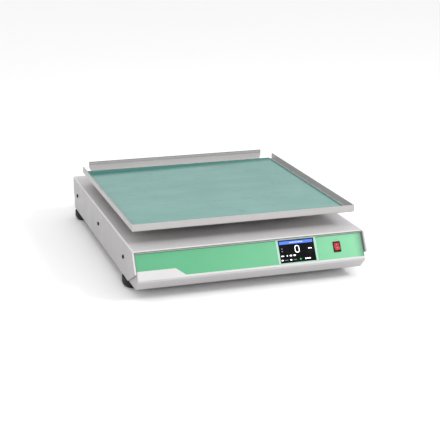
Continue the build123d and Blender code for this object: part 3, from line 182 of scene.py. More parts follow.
class ShakerMat(bpy.types.PropertyGroup):
    """Rubber mat of the platform."""

    rubber: colour("Rubber", "Colour of the clean rubber", (0.006, 0.135, 0.112))
    # The film is a painted reflection of the bright surroundings in the glossy rubber
    film: colour("Film", "Colour of the thin dust film on it", (0.350, 0.510, 0.480))
    corner: length("Corner", "Radius of the mat's corners", 4.0 * MM)
    roll: length("Rolled edge", "Rounding of the mat's upper edge", 0.8 * MM)
    wave: length("Wave", "Depth of the mat's slight unevenness", 0.12 * MM)
    flat_edge: length("Flat edge", "Width of the mat's edge that stays even", 6.0 * MM)
    # How much of the rubber the painted reflection covers, and where it fades out towards the rear and
    # the right
    dust: share("Dust", "Most of the rubber that the dust film covers", 0.60)
    rear_start: length("Rear start", "Where the dust starts to fade, from the rear edge", 48.0 * MM)
    rear_fade_end: length("Rear clean", "Where the rubber is clean, from the rear edge", 22.0 * MM)
    side_start: length("Side start", "Where the dust starts to fade, from the right edge", 8.0 * MM)
    side_fade_end: length("Side clean", "Where the rubber is clean, from the right edge", 2.0 * MM)
    smudge: length("Smudge", "Size of the smudges", 26.0 * MM)


class ShakerScreen(bpy.types.PropertyGroup):
    """Picture on the display."""

    layer: length("Layer", "Thickness of the picture's layers", 0.04 * MM)
    margin: length("Margin", "Dark edge round the picture", 2.2 * MM)
    bar_height: length("Title bar", "Height of the bar along the top", 6.0 * MM)
    digit_height: length("Digit height", "Height of the large nought", 14.6 * MM)
    digit_width: length("Digit width", "Width of the large nought", 9.6 * MM)
    digit_stroke: length("Digit stroke", "Stroke of the large nought", 1.4 * MM)
    bar_blue: colour("Bar", "Colour of the title bar", (0.045, 0.110, 0.520))
    bright: colour("Bright", "Colour of the bright signs", (0.900, 0.920, 0.950))
    title: colour("Title", "Colour of the title's blocks", (0.350, 0.450, 0.800))
    dim: colour("Dim", "Colour of the faint signs", (0.090, 0.100, 0.120))
    go_green: colour("Start", "Colour of the start sign", (0.020, 0.360, 0.060))
    glow: share("Glow", "Strength of the lit picture", 0.75, 5.0)


class ShakerSwitch(bpy.types.PropertyGroup):
    """Marks of the power switch."""

    red: colour("Rocker", "Colour of the rocker", (0.380, 0.003, 0.008))
    ink: colour("Marks", "Colour of the marks on the rocker", (0.420, 0.250, 0.250))
    print_ink: colour("Print", "Colour of the marks above the switch", (0.060, 0.160, 0.110))
    mark_height: length("Mark height", "Height of the rocker's marks", 3.4 * MM)
    mark_stroke: length("Mark stroke", "Stroke of the rocker's marks", 0.6 * MM)
    layer: length("Layer", "Thickness of the marks", 0.04 * MM)


class ShakerStudio(bpy.types.PropertyGroup):
    """Camera, lights and floor."""

    place: bpy.props.FloatVectorProperty(
        name="Camera", description="Place of the camera", size=3,
        default=(-0.6822, -2.1839, 0.7473), subtype="TRANSLATION", unit="LENGTH",
    )
    heading: angle("Heading", "Turn of the camera round the object", -18.0)
    tilt: angle("Tilt", "Angle of the camera above level", 17.41)
    roll: angle("Roll", "Roll of the camera", 0.17)
    lens: bpy.props.FloatProperty(
        name="Lens", description="Focal length in millimetres", default=91.6, min=10.0,
    )
    shift: share("Shift", "Upward shift of the frame", 0.025)
    floor_radius: length("Floor", "Radius of the studio floor", 14.0)
    floor_white: colour("Floor white", "Colour of the floor", (0.850, 0.850, 0.850))
    sky: share("Sky", "Strength of the light from all round", 0.22, 5.0)
    overhead: share("Overhead", "Added strength of the light from above", 1.30, 5.0)
    front: share("Front", "Added strength of the light from the front", 0.05, 5.0)
    key: share("Key", "Power of the light beside the camera", 19.0, 500.0)
    high: share("High", "Power of the light high at the right", 34.0, 500.0)
    side: share("Side", "Power of the light at the front left", 1.6, 500.0)
    fill: share("Fill", "Power of the light at the front right", 2.0, 500.0)


# ---------------------------------------------------------------- node helpers


def put(tree, kind, inputs=None, **settings):
    """Add a shader node, with its settings and its inputs set or linked by name or number."""
    new = tree.nodes.new(kind)
    for name, value in settings.items():
        setattr(new, name, value)
    for name, value in (inputs or {}).items():
        if isinstance(value, bpy.types.NodeSocket):
            tree.links.new(value, new.inputs[name])
        else:
            new.inputs[name].default_value = value
    return new


def start_material(name, **sockets):
    """New material with a Principled shader, whose constant values are set on its own sockets."""
    material = bpy.data.materials.new(name)
    material.use_nodes = True
    tree = material.node_tree
    shader = tree.nodes["Principled BSDF"]
    for socket, value in sockets.items():
        shader.inputs[socket.replace("_", " ")].default_value = value
    return material, tree, shader


def join(tree, source, shader, socket):
    """Link a value to one of the shader's sockets."""
    tree.links.new(source, shader.inputs[socket])


def place_on(tree, stretch=(1, 1, 1)):
    """Coordinates of the piece itself, stretched along its axes."""
    coords = put(tree, "ShaderNodeTexCoord").outputs["Object"]
    return put(tree, "ShaderNodeMapping", {"Vector": coords, "Scale": stretch}).outputs["Vector"]


def sums(tree, operation, a, b):
    """One step of arithmetic."""
    return put(tree, "ShaderNodeMath", {0: a, 1: b}, operation=operation).outputs["Value"]


def scaled(tree, value, low, high, to_low=0.0, to_high=1.0):
    """A value taken from one range to another, and kept inside it."""
    step = put(tree, "ShaderNodeMapRange", {
        "Value": value, "From Min": low, "From Max": high, "To Min": to_low, "To Max": to_high,
    })
    return step.outputs["Result"]


def noise(tree, coords, cell, detail=2.0, roughness=0.5):
    """Smooth noise whose cells have about the given size in metres."""
    step = put(tree, "ShaderNodeTexNoise", {
        "Vector": coords, "Scale": 1.0 / cell, "Detail": detail, "Roughness": roughness,
    })
    return step.outputs["Fac"]


def cells(tree, coords, cell):
    """Cell pattern with cells of about the given size in metres."""
    step = put(tree, "ShaderNodeTexVoronoi", {"Vector": coords, "Scale": 1.0 / cell})
    return step.outputs["Distance"]


def blend_colour(tree, share_of_second, first, second, how="MIX"):
    """Mix of two colours."""
    step = put(tree, "ShaderNodeMix", {0: share_of_second, 6: first, 7: second},
               data_type="RGBA", blend_type=how)
    return step.outputs[2]


def solid(rgb, level=1.0):
    """Colour with its alpha, made lighter or darker."""
    return tuple(min(1.0, c * level) for c in rgb) + (1.0,)


def relief(tree, shader, height, distance, strength=1.0):
    """Fine relief from a height pattern, linked to the shader."""
    step = put(tree, "ShaderNodeBump", {"Height": height, "Distance": distance, "Strength": strength})
    join(tree, step.outputs["Normal"], shader, "Normal")


def axis_place(tree, coords, axis):
    """Place of a point along an axis."""
    step = put(tree, "ShaderNodeVectorMath", {0: coords, 1: tuple(axis)}, operation="DOT_PRODUCT")
    return step.outputs["Value"]


# ---------------------------------------------------------------- finishes


def beyond(axis, place, blur):
    """All that lies further along an axis than a place, with a soft start of the blur's width."""
    return axis, place, place + blur


def before(axis, place, blur):
    """All that lies less far along an axis than a place, with a soft end of the blur's width."""
    return beyond(-axis, -place, blur)


def region_share(tree, coords, region):
    """How far a point lies inside a region, from 0 to 1."""
    axis, start, full = region
    return scaled(tree, axis_place(tree, coords, axis), start, full)


def powder_coat(name, rgb, paint, dust_and_painted_light, marks=()):
    """Fine-textured powder coat: orange-peel grain, faint mottling and a few handling scuffs.

    The coat is painted lighter in the given region, as painted light. Each mark is a tone, its strength,
    and the regions that overlap where it lies.
    """
    material, tree, shader = start_material(name, IOR=1.5, Coat_Weight=0.12, Coat_Roughness=0.3)
    coords = place_on(tree)
    mottle = scaled(tree, noise(tree, coords, 0.12, 4.0), 0.35, 0.65)
    speck = scaled(tree, cells(tree, coords, paint.grain * 1.6), 0.0, 0.55)
    base = blend_colour(tree, mottle, solid(rgb, 0.965), solid(rgb, 1.02))
    toned = blend_colour(tree, scaled(tree, speck, 0.0, 1.0, 0.0, 0.5), base, solid(rgb, 0.84))
    scuffs = noise(tree, place_on(tree, (3.0, 40.0, 14.0)), 0.35, 6.0, 0.62)
    scuff = scaled(tree, scuffs, 0.66, 0.72)
    wear_and_painted_light = blend_colour(tree, sums(tree, "MULTIPLY", scuff, 0.25), toned, solid(rgb, 1.12))
    # Painted light: the coat is lighter in the given region, then painted highlight and shade marks go
    # over it
    level = paint.painted_light_level
    painted_light_share = region_share(tree, coords, dust_and_painted_light)
    wear_and_painted_light = blend_colour(tree, painted_light_share, wear_and_painted_light, (level, level, level, 1.0), "MULTIPLY")
    for tone, strength, regions in marks:
        covered = strength
        for region in regions:
            covered = sums(tree, "MULTIPLY", covered, region_share(tree, coords, region))
        wear_and_painted_light = blend_colour(tree, covered, wear_and_painted_light, tone)
    join(tree, wear_and_painted_light, shader, "Base Color")
    spread = scaled(tree, noise(tree, coords, 0.05, 3.0), 0.3, 0.7,
                    paint.gloss_spread - 0.05, paint.gloss_spread + 0.07)
    join(tree, sums(tree, "SUBTRACT", spread, sums(tree, "MULTIPLY", scuff, 0.1)), shader, "Roughness")
    grain = sums(tree, "ADD", noise(tree, coords, paint.grain, 3.0, 0.6), speck)
    relief(tree, shader, grain, paint.relief, 0.6)
    return material


def plated_steel(name, rgb, cell, spread):
    """Plated or galvanised steel with soft spangle and wiping marks."""
    material, tree, shader = start_material(name, Metallic=1.0)
    coords = place_on(tree)
    spangle = cells(tree, coords, cell)
    cloud = noise(tree, coords, cell * 4, 4.0)
    tone = blend_colour(tree, scaled(tree, cloud, 0.3, 0.7), solid(rgb, 0.86), solid(rgb, 1.05))
    join(tree, blend_colour(tree, scaled(tree, spangle, 0.2, 0.8, 0.0, 0.3), tone, solid(rgb, 0.78)),
         shader, "Base Color")
    join(tree, scaled(tree, sums(tree, "ADD", spangle, cloud), 0.3, 1.4, spread - 0.08, spread + 0.12),
         shader, "Roughness")
    relief(tree, shader, noise(tree, coords, 0.4 * MM, 3.0), 0.02 * MM, 0.5)
    return material


def machined_metal(name, rgb, stretch, spread, step):
    """Machined metal with fine tool marks across the stretched axes."""
    material, tree, shader = start_material(name, Metallic=1.0)
    marks = noise(tree, place_on(tree, stretch), step, 4.0, 0.6)
    cloud = noise(tree, place_on(tree), 12 * MM, 3.0)
    tone = blend_colour(tree, scaled(tree, marks, 0.3, 0.7), solid(rgb, 0.88), solid(rgb, 1.04))
    join(tree, blend_colour(tree, scaled(tree, cloud, 0.5, 0.75, 0.0, 0.35), tone, solid(rgb, 0.80)),
         shader, "Base Color")
    join(tree, scaled(tree, marks, 0.3, 0.7, spread - 0.06, spread + 0.08), shader, "Roughness")
    relief(tree, shader, marks, 0.015 * MM, 0.6)
    return material


def moulded(name, rgb, spread, cell, depth, dust_and_painted_light=0.3, gloss=0.5):
    """Moulded rubber or plastic with fine grain, faint dust and uneven gloss."""
    material, tree, shader = start_material(name, IOR=1.5, Specular_IOR_Level=gloss)
    coords = place_on(tree)
    grain = noise(tree, coords, cell, 3.0, 0.6)
    dust = scaled(tree, noise(tree, coords, 14 * MM, 5.0), 0.48, 0.72, 0.0, dust_and_painted_light)
    tone = blend_colour(tree, grain, solid(rgb, 0.8), solid(rgb, 1.25))
    pale = tuple(0.6 * c + 0.05 for c in rgb) + (1.0,)
    join(tree, blend_colour(tree, dust, tone, pale), shader, "Base Color")
    join(tree, scaled(tree, sums(tree, "ADD", grain, dust), 0.3, 1.0, spread - 0.06, spread + 0.1),
         shader, "Roughness")
    relief(tree, shader, sums(tree, "ADD", grain, cells(tree, coords, cell * 1.7)), depth, 0.7)
    return material


def circuit_board(name, rgb):
    """Solder mask over copper tracks, with tinned pads."""
    material, tree, shader = start_material(name, IOR=1.5, Coat_Weight=0.3, Coat_Roughness=0.15)
    coords = place_on(tree)
    tracks = put(tree, "ShaderNodeTexBrick", {
        "Vector": coords, "Scale": 160.0, "Mortar Size": 0.03, "Brick Width": 0.9, "Row Height": 0.35,
    }, offset=0.4, squash=1.6).outputs["Fac"]
    masked = blend_colour(tree, sums(tree, "MULTIPLY", tracks, 0.7), solid(rgb), solid(rgb, 2.1))
    pads = scaled(tree, cells(tree, coords, 4.5 * MM), 0.10, 0.14, 1.0, 0.0)
    tinned = blend_colour(tree, pads, masked, (0.55, 0.55, 0.52, 1.0))
    join(tree, tinned, shader, "Base Color")
    join(tree, scaled(tree, noise(tree, coords, 5 * MM), 0.3, 0.7, 0.28, 0.42), shader, "Roughness")
    relief(tree, shader, sums(tree, "ADD", tracks, pads), 0.05 * MM, 0.8)
    return material


def lit_layer(name, rgb, glow):
    """Lit part of the display's picture, with its fine rows of dots."""
    material, tree, shader = start_material(
        name, Emission_Strength=glow, Roughness=0.35, Specular_IOR_Level=0.3)
    coords = place_on(tree)
    rows = put(tree, "ShaderNodeTexWave", {"Vector": coords, "Scale": 900.0, "Distortion": 0.0},
               bands_direction="Z").outputs["Fac"]
    patch = scaled(tree, noise(tree, coords, 9 * MM, 2.0), 0.3, 0.7, 0.88, 1.0)
    level = sums(tree, "MULTIPLY", scaled(tree, rows, 0.0, 1.0, 0.93, 1.0), patch)
    lit = blend_colour(tree, level, solid(rgb, 0.72), solid(rgb))
    join(tree, lit, shader, "Base Color")
    join(tree, lit, shader, "Emission Color")
    return material


def ink(name, rgb):
    """Screen-printed ink, a little uneven in cover."""
    material, tree, shader = start_material(name, IOR=1.48)
    coords = place_on(tree)
    cover = scaled(tree, noise(tree, coords, 0.5 * MM, 3.0), 0.3, 0.7)
    join(tree, blend_colour(tree, cover, solid(rgb, 0.85), solid(rgb, 1.08)), shader, "Base Color")
    join(tree, scaled(tree, cover, 0.0, 1.0, 0.39, 0.51), shader, "Roughness")
    relief(tree, shader, cover, 0.01 * MM, 0.5)
    return material


def film_print(settings):
    """Printed film: green, with painted shade along its top and right edges, a white foot and a white
    notch.
    """
    material, tree, shader = start_material(
        "printed_film", IOR=1.55, Coat_Weight=0.35, Coat_Roughness=0.22)
    coords = place_on(tree)
    along = axis_place(tree, coords, ACROSS)
    nose = reach("front_overlay", PANEL_UP)[0] - settings.film_foot
    up = sums(tree, "SUBTRACT", axis_place(tree, coords, PANEL_UP), nose)
    foot = scaled(tree, along, -settings.notch_from, -settings.notch_to,
                  settings.notch_top, settings.field_bottom)
    above = sums(tree, "GREATER_THAN", up, foot)
    below = sums(tree, "LESS_THAN", up, settings.field_top)
    field = sums(tree, "MULTIPLY", above, below)
    half = reach("front_overlay", ACROSS)[1]
    fade = sums(tree, "POWER", scaled(tree, along, -half, half), 1.7)
    mottle = noise(tree, coords, 0.05, 3.0)
    green = blend_colour(tree, fade, solid(settings.green_left), solid(settings.green_right))
    green = blend_colour(tree, scaled(tree, mottle, 0.35, 0.65, 0.0, 0.12), green,
                         solid(settings.green_left, 0.9))
    # Painted shade: darker green along the field's top under the cover's front fold, and along its right
    # edge beside the cheek
    top = scaled(tree, up, settings.edge_top - settings.edge_width, settings.edge_top, 0.0, 0.85)
    side = scaled(tree, along, half - settings.edge_side, half)
    side = scaled(tree, sums(tree, "POWER", side, 1.8), 0.0, 1.0, 0.0, 0.80)
    green = blend_colour(tree, sums(tree, "MAXIMUM", top, side), green, solid(settings.edge))
    white = blend_colour(tree, scaled(tree, mottle, 0.35, 0.65), solid(settings.white, 0.97),
                         solid(settings.white, 1.02))
    join(tree, blend_colour(tree, field, white, green), shader, "Base Color")
    smear = noise(tree, place_on(tree, (1.0, 3.0, 3.0)), 0.03, 5.0)
    join(tree, scaled(tree, smear, 0.35, 0.7, 0.30, 0.42), shader, "Roughness")
    relief(tree, shader, noise(tree, coords, 0.35 * MM, 2.0), 0.008 * MM, 0.5)
    return material


def mat_rubber(settings):
    """Glossy rubber under a pale layer of painted reflection that fades out towards the rear and right
    rims, with wiping marks.
    """
    material, tree, shader = start_material(
        "mat_gloss", IOR=1.5, Specular_IOR_Level=0.12, Coat_Weight=0.03, Coat_Roughness=0.2)
    coords = place_on(tree)
    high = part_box("platform_mat")[1]
    # Painted reflection: a pale layer over the middle of the mat that fades out near the rear and right
    # rims
    slant = axis_place(tree, coords, (-0.06, 1, 0))
    rear = scaled(tree, slant, high.y - settings.rear_start, high.y - settings.rear_fade_end, 1.0, 0.0)
    right = scaled(tree, axis_place(tree, coords, ACROSS),
                   high.x - settings.side_start, high.x - settings.side_fade_end, 1.0, 0.0)
    reflecting_part = sums(tree, "MULTIPLY", rear, right)
    wiped = noise(tree, place_on(tree, (1.0, 1.9, 1.0)), 0.10, 5.0, 0.6)
    patch = scaled(tree, wiped, 0.3, 0.7, 0.68, 0.84)
    cover = sums(tree, "MULTIPLY", patch, sums(tree, "MULTIPLY", reflecting_part, settings.dust))
    spots = noise(tree, place_on(tree, (1.0, 1.6, 1.0)), settings.smudge, 6.0, 0.7)
    dents = scaled(tree, spots, 0.60, 0.65)
    cloud = blend_colour(tree, noise(tree, coords, 0.09, 4.0), solid(settings.rubber, 0.9),
                         solid(settings.rubber, 1.12))
    with_painted_reflection = blend_colour(tree, cover, cloud, solid(settings.film))
    smudge = sums(tree, "MULTIPLY", dents, sums(tree, "MULTIPLY", reflecting_part, 0.5))
    marked = blend_colour(tree, smudge, with_painted_reflection, solid(settings.film, 0.40))
    join(tree, marked, shader, "Base Color")
    join(tree, scaled(tree, wiped, 0.3, 0.75, 0.10, 0.22), shader, "Roughness")
    fine = noise(tree, coords, 1.2 * MM, 2.0)
    heights = sums(tree, "ADD", sums(tree, "MULTIPLY", dents, 0.6), sums(tree, "MULTIPLY", fine, 0.12))
    relief(tree, shader, heights, 0.08 * MM, 0.6)
    return material


def red_lens(settings):
    """Red translucent rocker, uneven in tone, with the faint glow of its lamp."""
    material, tree, shader = start_material(
        "rocker_red", Subsurface_Weight=0.15, Subsurface_Scale=1.5 * MM, IOR=1.5, Coat_Weight=0.3,
        Coat_Roughness=0.08, Emission_Strength=0.05)
    coords = place_on(tree)
    cloud = scaled(tree, noise(tree, coords, 4 * MM, 2.0), 0.3, 0.7)
    tone = blend_colour(tree, cloud, solid(settings.red, 0.8), solid(settings.red, 1.1))
    join(tree, tone, shader, "Base Color")
    join(tree, tone, shader, "Emission Color")
    fine = noise(tree, coords, 0.4 * MM, 2.0)
    join(tree, scaled(tree, fine, 0.3, 0.7, 0.16, 0.26), shader, "Roughness")
    relief(tree, shader, fine, 0.01 * MM, 0.5)
    return material


def screen_glass():
    """Dark glass of the display with faint finger marks."""
    material, tree, shader = start_material("screen_dark", IOR=1.5, Specular_IOR_Level=0.10)
    coords = place_on(tree)
    touch = scaled(tree, noise(tree, place_on(tree, (1.0, 0.6, 1.4)), 16 * MM, 5.0, 0.6), 0.5, 0.72)
    base = blend_colour(tree, touch, (0.002, 0.002, 0.003, 1.0), (0.007, 0.007, 0.008, 1.0))
    join(tree, base, shader, "Base Color")
    join(tree, scaled(tree, touch, 0.0, 1.0, 0.09, 0.30), shader, "Roughness")
    relief(tree, shader, noise(tree, coords, 3 * MM, 2.0), 0.004 * MM, 0.4)
    return material


def floor_finish(rgb):
    """Matt studio floor."""
    material, tree, shader = start_material("studio_floor", Specular_IOR_Level=0.1)
    cloud = noise(tree, place_on(tree), 1.5, 3.0)
    join(tree, blend_colour(tree, cloud, solid(rgb, 0.99), solid(rgb)), shader, "Base Color")
    join(tree, scaled(tree, cloud, 0.3, 0.7, 0.85, 0.95), shader, "Roughness")
    return material


def dress(material, *names):
    """Give frame nodes a finish by their own material slots."""
    for name in names:
        node = frame["nodes"][name]
        for place in node.material_slots:
            place.material = material
        if not node.material_slots:
            node.data.materials.append(material)


# ---------------------------------------------------------------- modelling helpers


class Facet:
    """A flat face that carries prints: its origin, two directions along it, and its normal."""

    def __init__(self, origin, right, up):
        self.origin = Vector(origin)
        self.right = Vector(right).normalized()
        self.up = Vector(up).normalized()
        self.out = self.right.cross(self.up)

    def at(self, x, y, height=0.0):
        """Point of the facet."""
        return self.origin + self.right * x + self.up * y + self.out * height

    def turn(self):
        """Rotation that lays a primitive on the facet."""
        return Matrix((self.right, self.up, self.out)).transposed().to_euler()


def clear_selection():
    """Back to object mode with nothing selected, because operators act on all that is selected."""
    active = bpy.context.view_layer.objects.active
    if active is not None and active.mode != "OBJECT":
        bpy.ops.object.mode_set(mode="OBJECT")
    bpy.ops.object.select_all(action="DESELECT")


def raise_patch(facet, thickness):
    """Extrude the flat shape being edited to its thickness and close it."""
    bpy.ops.mesh.select_all(action="SELECT")
    bpy.ops.mesh.extrude_region_move(
        TRANSFORM_OT_translate={"value": facet.out * thickness, "orient_type": "GLOBAL"})
    bpy.ops.mesh.select_all(action="SELECT")
    bpy.ops.mesh.normals_make_consistent(inside=False)
    bpy.ops.object.mode_set(mode="OBJECT")
    bpy.ops.object.transform_apply(location=True, rotation=True, scale=True)


def patch(name, facet, x, y, width, height, corner, thickness, stroke=0.0):
    """Thin rounded patch on a facet. With a stroke it is a ring, such as a nought."""
    clear_selection()
    bpy.ops.mesh.primitive_plane_add(size=1, location=facet.at(x, y), rotation=facet.turn())
    piece = bpy.context.object
    piece.name = name
    piece.scale = (width, height, 1)
    bpy.ops.object.transform_apply(location=False, rotation=False, scale=True)
    bpy.ops.object.mode_set(mode="EDIT")
    bpy.ops.mesh.select_all(action="SELECT")
    bpy.ops.mesh.bevel(offset=corner, segments=6, affect="VERTICES")
    if stroke:
        bpy.ops.mesh.select_all(action="SELECT")
        bpy.ops.mesh.inset(thickness=stroke)
        bpy.ops.mesh.delete(type="FACE")
    raise_patch(facet, thickness)
    return piece


def arrow_patch(name, facet, x, y, radius, thickness):
    """Thin triangle that points to the right."""
    clear_selection()
    bpy.ops.mesh.primitive_circle_add(
        vertices=3, radius=radius, fill_type="NGON", location=facet.at(x, y), rotation=facet.turn())
    piece = bpy.context.object
    piece.name = name
    bpy.ops.object.mode_set(mode="EDIT")
    bpy.ops.mesh.select_all(action="SELECT")
    bpy.ops.transform.rotate(value=pi / 2, orient_axis="Z", center_override=facet.at(x, y),
                             orient_type="LOCAL")
    bpy.ops.mesh.bevel(offset=radius * 0.08, segments=2, affect="VERTICES")
    raise_patch(facet, thickness)
    return piece


def merge(name, pieces):
    """Join like pieces into one object."""
    clear_selection()
    for piece in pieces:
        piece.select_set(True)
    bpy.context.view_layer.objects.active = pieces[0]
    bpy.ops.object.join()
    joined = bpy.context.object
    joined.name = name
    joined.data.name = name
    return joined


def finish_piece(piece, material, body):
    """Give a new piece its finish and attach it to its body."""
    piece.data.materials.clear()
    piece.data.materials.append(material)
    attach(piece, body)


# ---------------------------------------------------------------- pieces


class SHAKER_OT_shell(bpy.types.Operator):
    """Powder coat on the folded housing and the platform"""

    bl_idname = "shaker.shell"
    bl_label = "Coat the Sheet Metal"

    def execute(self, context):
        paint = context.scene.shaker_paint
        top = reach("cover", UPWARD)[1]
        # Regions of painted light: the cover's top, and the platform behind its front rim
        on_top = beyond(UPWARD, top - paint.painted_light_depth, 0.6 * MM)
        front = reach("platform_tray", BACKWARD)[0]
        behind = beyond(BACKWARD, front + paint.painted_light_start, 4 * MM)
        cover = powder_coat("cover_coat", paint.shell, paint, on_top, self.cover_marks(paint, top))
        dress(cover, "cover")
        dress(powder_coat("housing_coat", paint.shell, paint, on_top), "base_tray")
        rims = powder_coat("platform_coat", paint.platform, paint, behind, self.rim_marks(paint))
        dress(rims, "platform_tray")
        return {"FINISHED"}

    def cover_marks(self, paint, top):
        """Painted highlights along the front fold and the side folds, painted shade on the right cheek's
        front edge, and painted shade under the front fold.
        """
        front = reach("cover", PANEL_OUT)[1]
        side = reach("cover_screws", ACROSS)[1] - paint.screw_head
        cheek = side - paint.cheek
        at_front = beyond(PANEL_OUT, front - paint.front_edge, 0.4 * MM)
        under_fold = (
            beyond(PANEL_OUT, front - paint.shade_depth, 1 * MM),
            beyond(UPWARD, paint.fold_foot - 0.6 * MM, 0.2 * MM),
            before(UPWARD, paint.fold_foot + paint.shade_rise, 2.3 * MM),
            beyond(ACROSS, -cheek - 2 * MM, 1 * MM),
            before(ACROSS, cheek + 2 * MM, 1 * MM),
        )
        # Painted highlight on the front edges of the top and the left cheek; painted shade on the right
        # cheek's front edge and under the front fold
        marks = [
            (solid(paint.shell, 1.15), 0.9, (at_front, before(ACROSS, cheek - 0.5 * MM, 4 * MM))),
            (solid(paint.shell, 0.80), 0.9, (at_front, beyond(ACROSS, cheek, 1 * MM))),
            (solid(paint.shade), 1.0, under_fold),
        ]
        # Painted highlight along the folds between the cover's top and its sides
        on_fold = beyond(UPWARD, top - paint.fold, 0.2 * paint.fold)
        for outward in (ACROSS, -ACROSS):
            at_side = beyond(outward, side - paint.fold, 0.2 * paint.fold)
            marks.append((solid(paint.shell, 1.55), 0.9, (on_fold, at_side)))
        return marks

    def rim_marks(self, paint):
        """Darker bands along the tops of the rims, and painted shade in a line under the rear rim's
        fold.
        """
        tone = solid(paint.platform, 0.45)
        top = reach("platform_tray", UPWARD)[1]
        low_top = top - paint.rim_step
        front, rear = reach("platform_tray", BACKWARD)
        at_rear = beyond(BACKWARD, rear - paint.rear_strip, 1 * MM)
        at_sides = (
            before(BACKWARD, rear - paint.rear_strip + 1 * MM, 1 * MM),
            beyond(BACKWARD, front + 4 * MM, 2 * MM),
            beyond(UPWARD, low_top - paint.rim_edge, 0.2 * MM),
        )
        # Painted shade in a line under the fold along the rear rim's top
        rear_fold_shade = (
            at_rear,
            beyond(UPWARD, top - paint.line_foot, 0.4 * MM),
            before(UPWARD, top - paint.line_top, 0.4 * MM),
        )
        return (
            (tone, 0.8, (at_rear, beyond(UPWARD, top - paint.rear_edge, 0.3 * MM))),
            (tone, 0.5, rear_fold_shade),
            (tone, 0.7, at_sides),
        )


class SHAKER_OT_hardware(bpy.types.Operator):
    """Metal, rubber and plastic of the drive, the fasteners and the electrics"""

    bl_idname = "shaker.hardware"
    bl_label = "Finish the Works"

    def execute(self, context):
        zinc = plated_steel("zinc_plate", (0.66, 0.67, 0.69), 3 * MM, 0.34)
        dress(zinc, "platform_carrier", "drive_bracket", "cover_nuts", "foot_screws", "foot_nuts",
              "display_screws", "board_screws", "inlet_screws", "pedestal_bolts", "clamp_screws",
              "platform_screws", "platform_nuts", "yoke_screws", "bracket_screws", "housing_screws",
              "motor_screws")
        dress(plated_steel("galvanised_case", (0.62, 0.63, 0.65), 9 * MM, 0.42), "power_supply")
        dress(machined_metal("milled_aluminium", (0.74, 0.75, 0.76), (1.0, 1.0, 14.0), 0.36, 9 * MM),
              "pedestal_front", "pedestal_rear", "shaft_clamps", "yoke_arm", "eccentric_housing")
        dress(machined_metal("turned_aluminium", (0.76, 0.77, 0.78), (1.0, 18.0, 1.0), 0.32, 9 * MM),
              "driven_pulley", "motor_pulley")
        dress(machined_metal("ground_steel_bar", (0.66, 0.66, 0.67), (1.0, 30.0, 1.0), 0.22, 7 * MM),
              "rocker_shaft", "shaft_collars", "eccentric_shaft", "crank_pin", "motor_shaft")
        dress(machined_metal("bearing_rings", (0.70, 0.70, 0.72), (1.0, 24.0, 1.0), 0.16, 6 * MM),
              "rocker_bearings", "eccentric_bearings", "follower_bearing")
        dress(machined_metal("turned_brass", (0.70, 0.52, 0.22), (1.0, 1.0, 20.0), 0.3, 5 * MM),
              "display_spacers", "board_spacers")
        dress(moulded("motor_paint", (0.030, 0.031, 0.034), 0.42, 0.7 * MM, 0.02 * MM), "gear_motor")
        dress(moulded("belt_moulding", (0.014, 0.014, 0.015), 0.6, 0.8 * MM, 0.05 * MM), "drive_belt")
        dress(moulded("inlet_moulding", (0.012, 0.012, 0.013), 0.46, 0.5 * MM, 0.02 * MM), "power_inlet")
        dress(moulded("blackened_screws", (0.002, 0.002, 0.002), 0.5, 0.6 * MM, 0.01 * MM, 0.0, 0.05),
              "cover_screws")
        dress(circuit_board("circuit_boards", (0.010, 0.110, 0.045)), "display_module", "control_board")
        return {"FINISHED"}


class SHAKER_OT_feet(bpy.types.Operator):
    """Moulded rubber of the feet"""

    bl_idname = "shaker.feet"
    bl_label = "Finish the Feet"

    def execute(self, context):
        dress(moulded("foot_moulding", (0.008, 0.008, 0.008), 0.55, 0.9 * MM, 0.05 * MM, 0.08, 0.35),
              "feet")
        return {"FINISHED"}


class SHAKER_OT_film(bpy.types.Operator):
    """Printed film of the control panel"""

    bl_idname = "shaker.film"
    bl_label = "Print the Panel Film"

    def execute(self, context):
        dress(film_print(context.scene.shaker_print), "front_overlay")
        return {"FINISHED"}


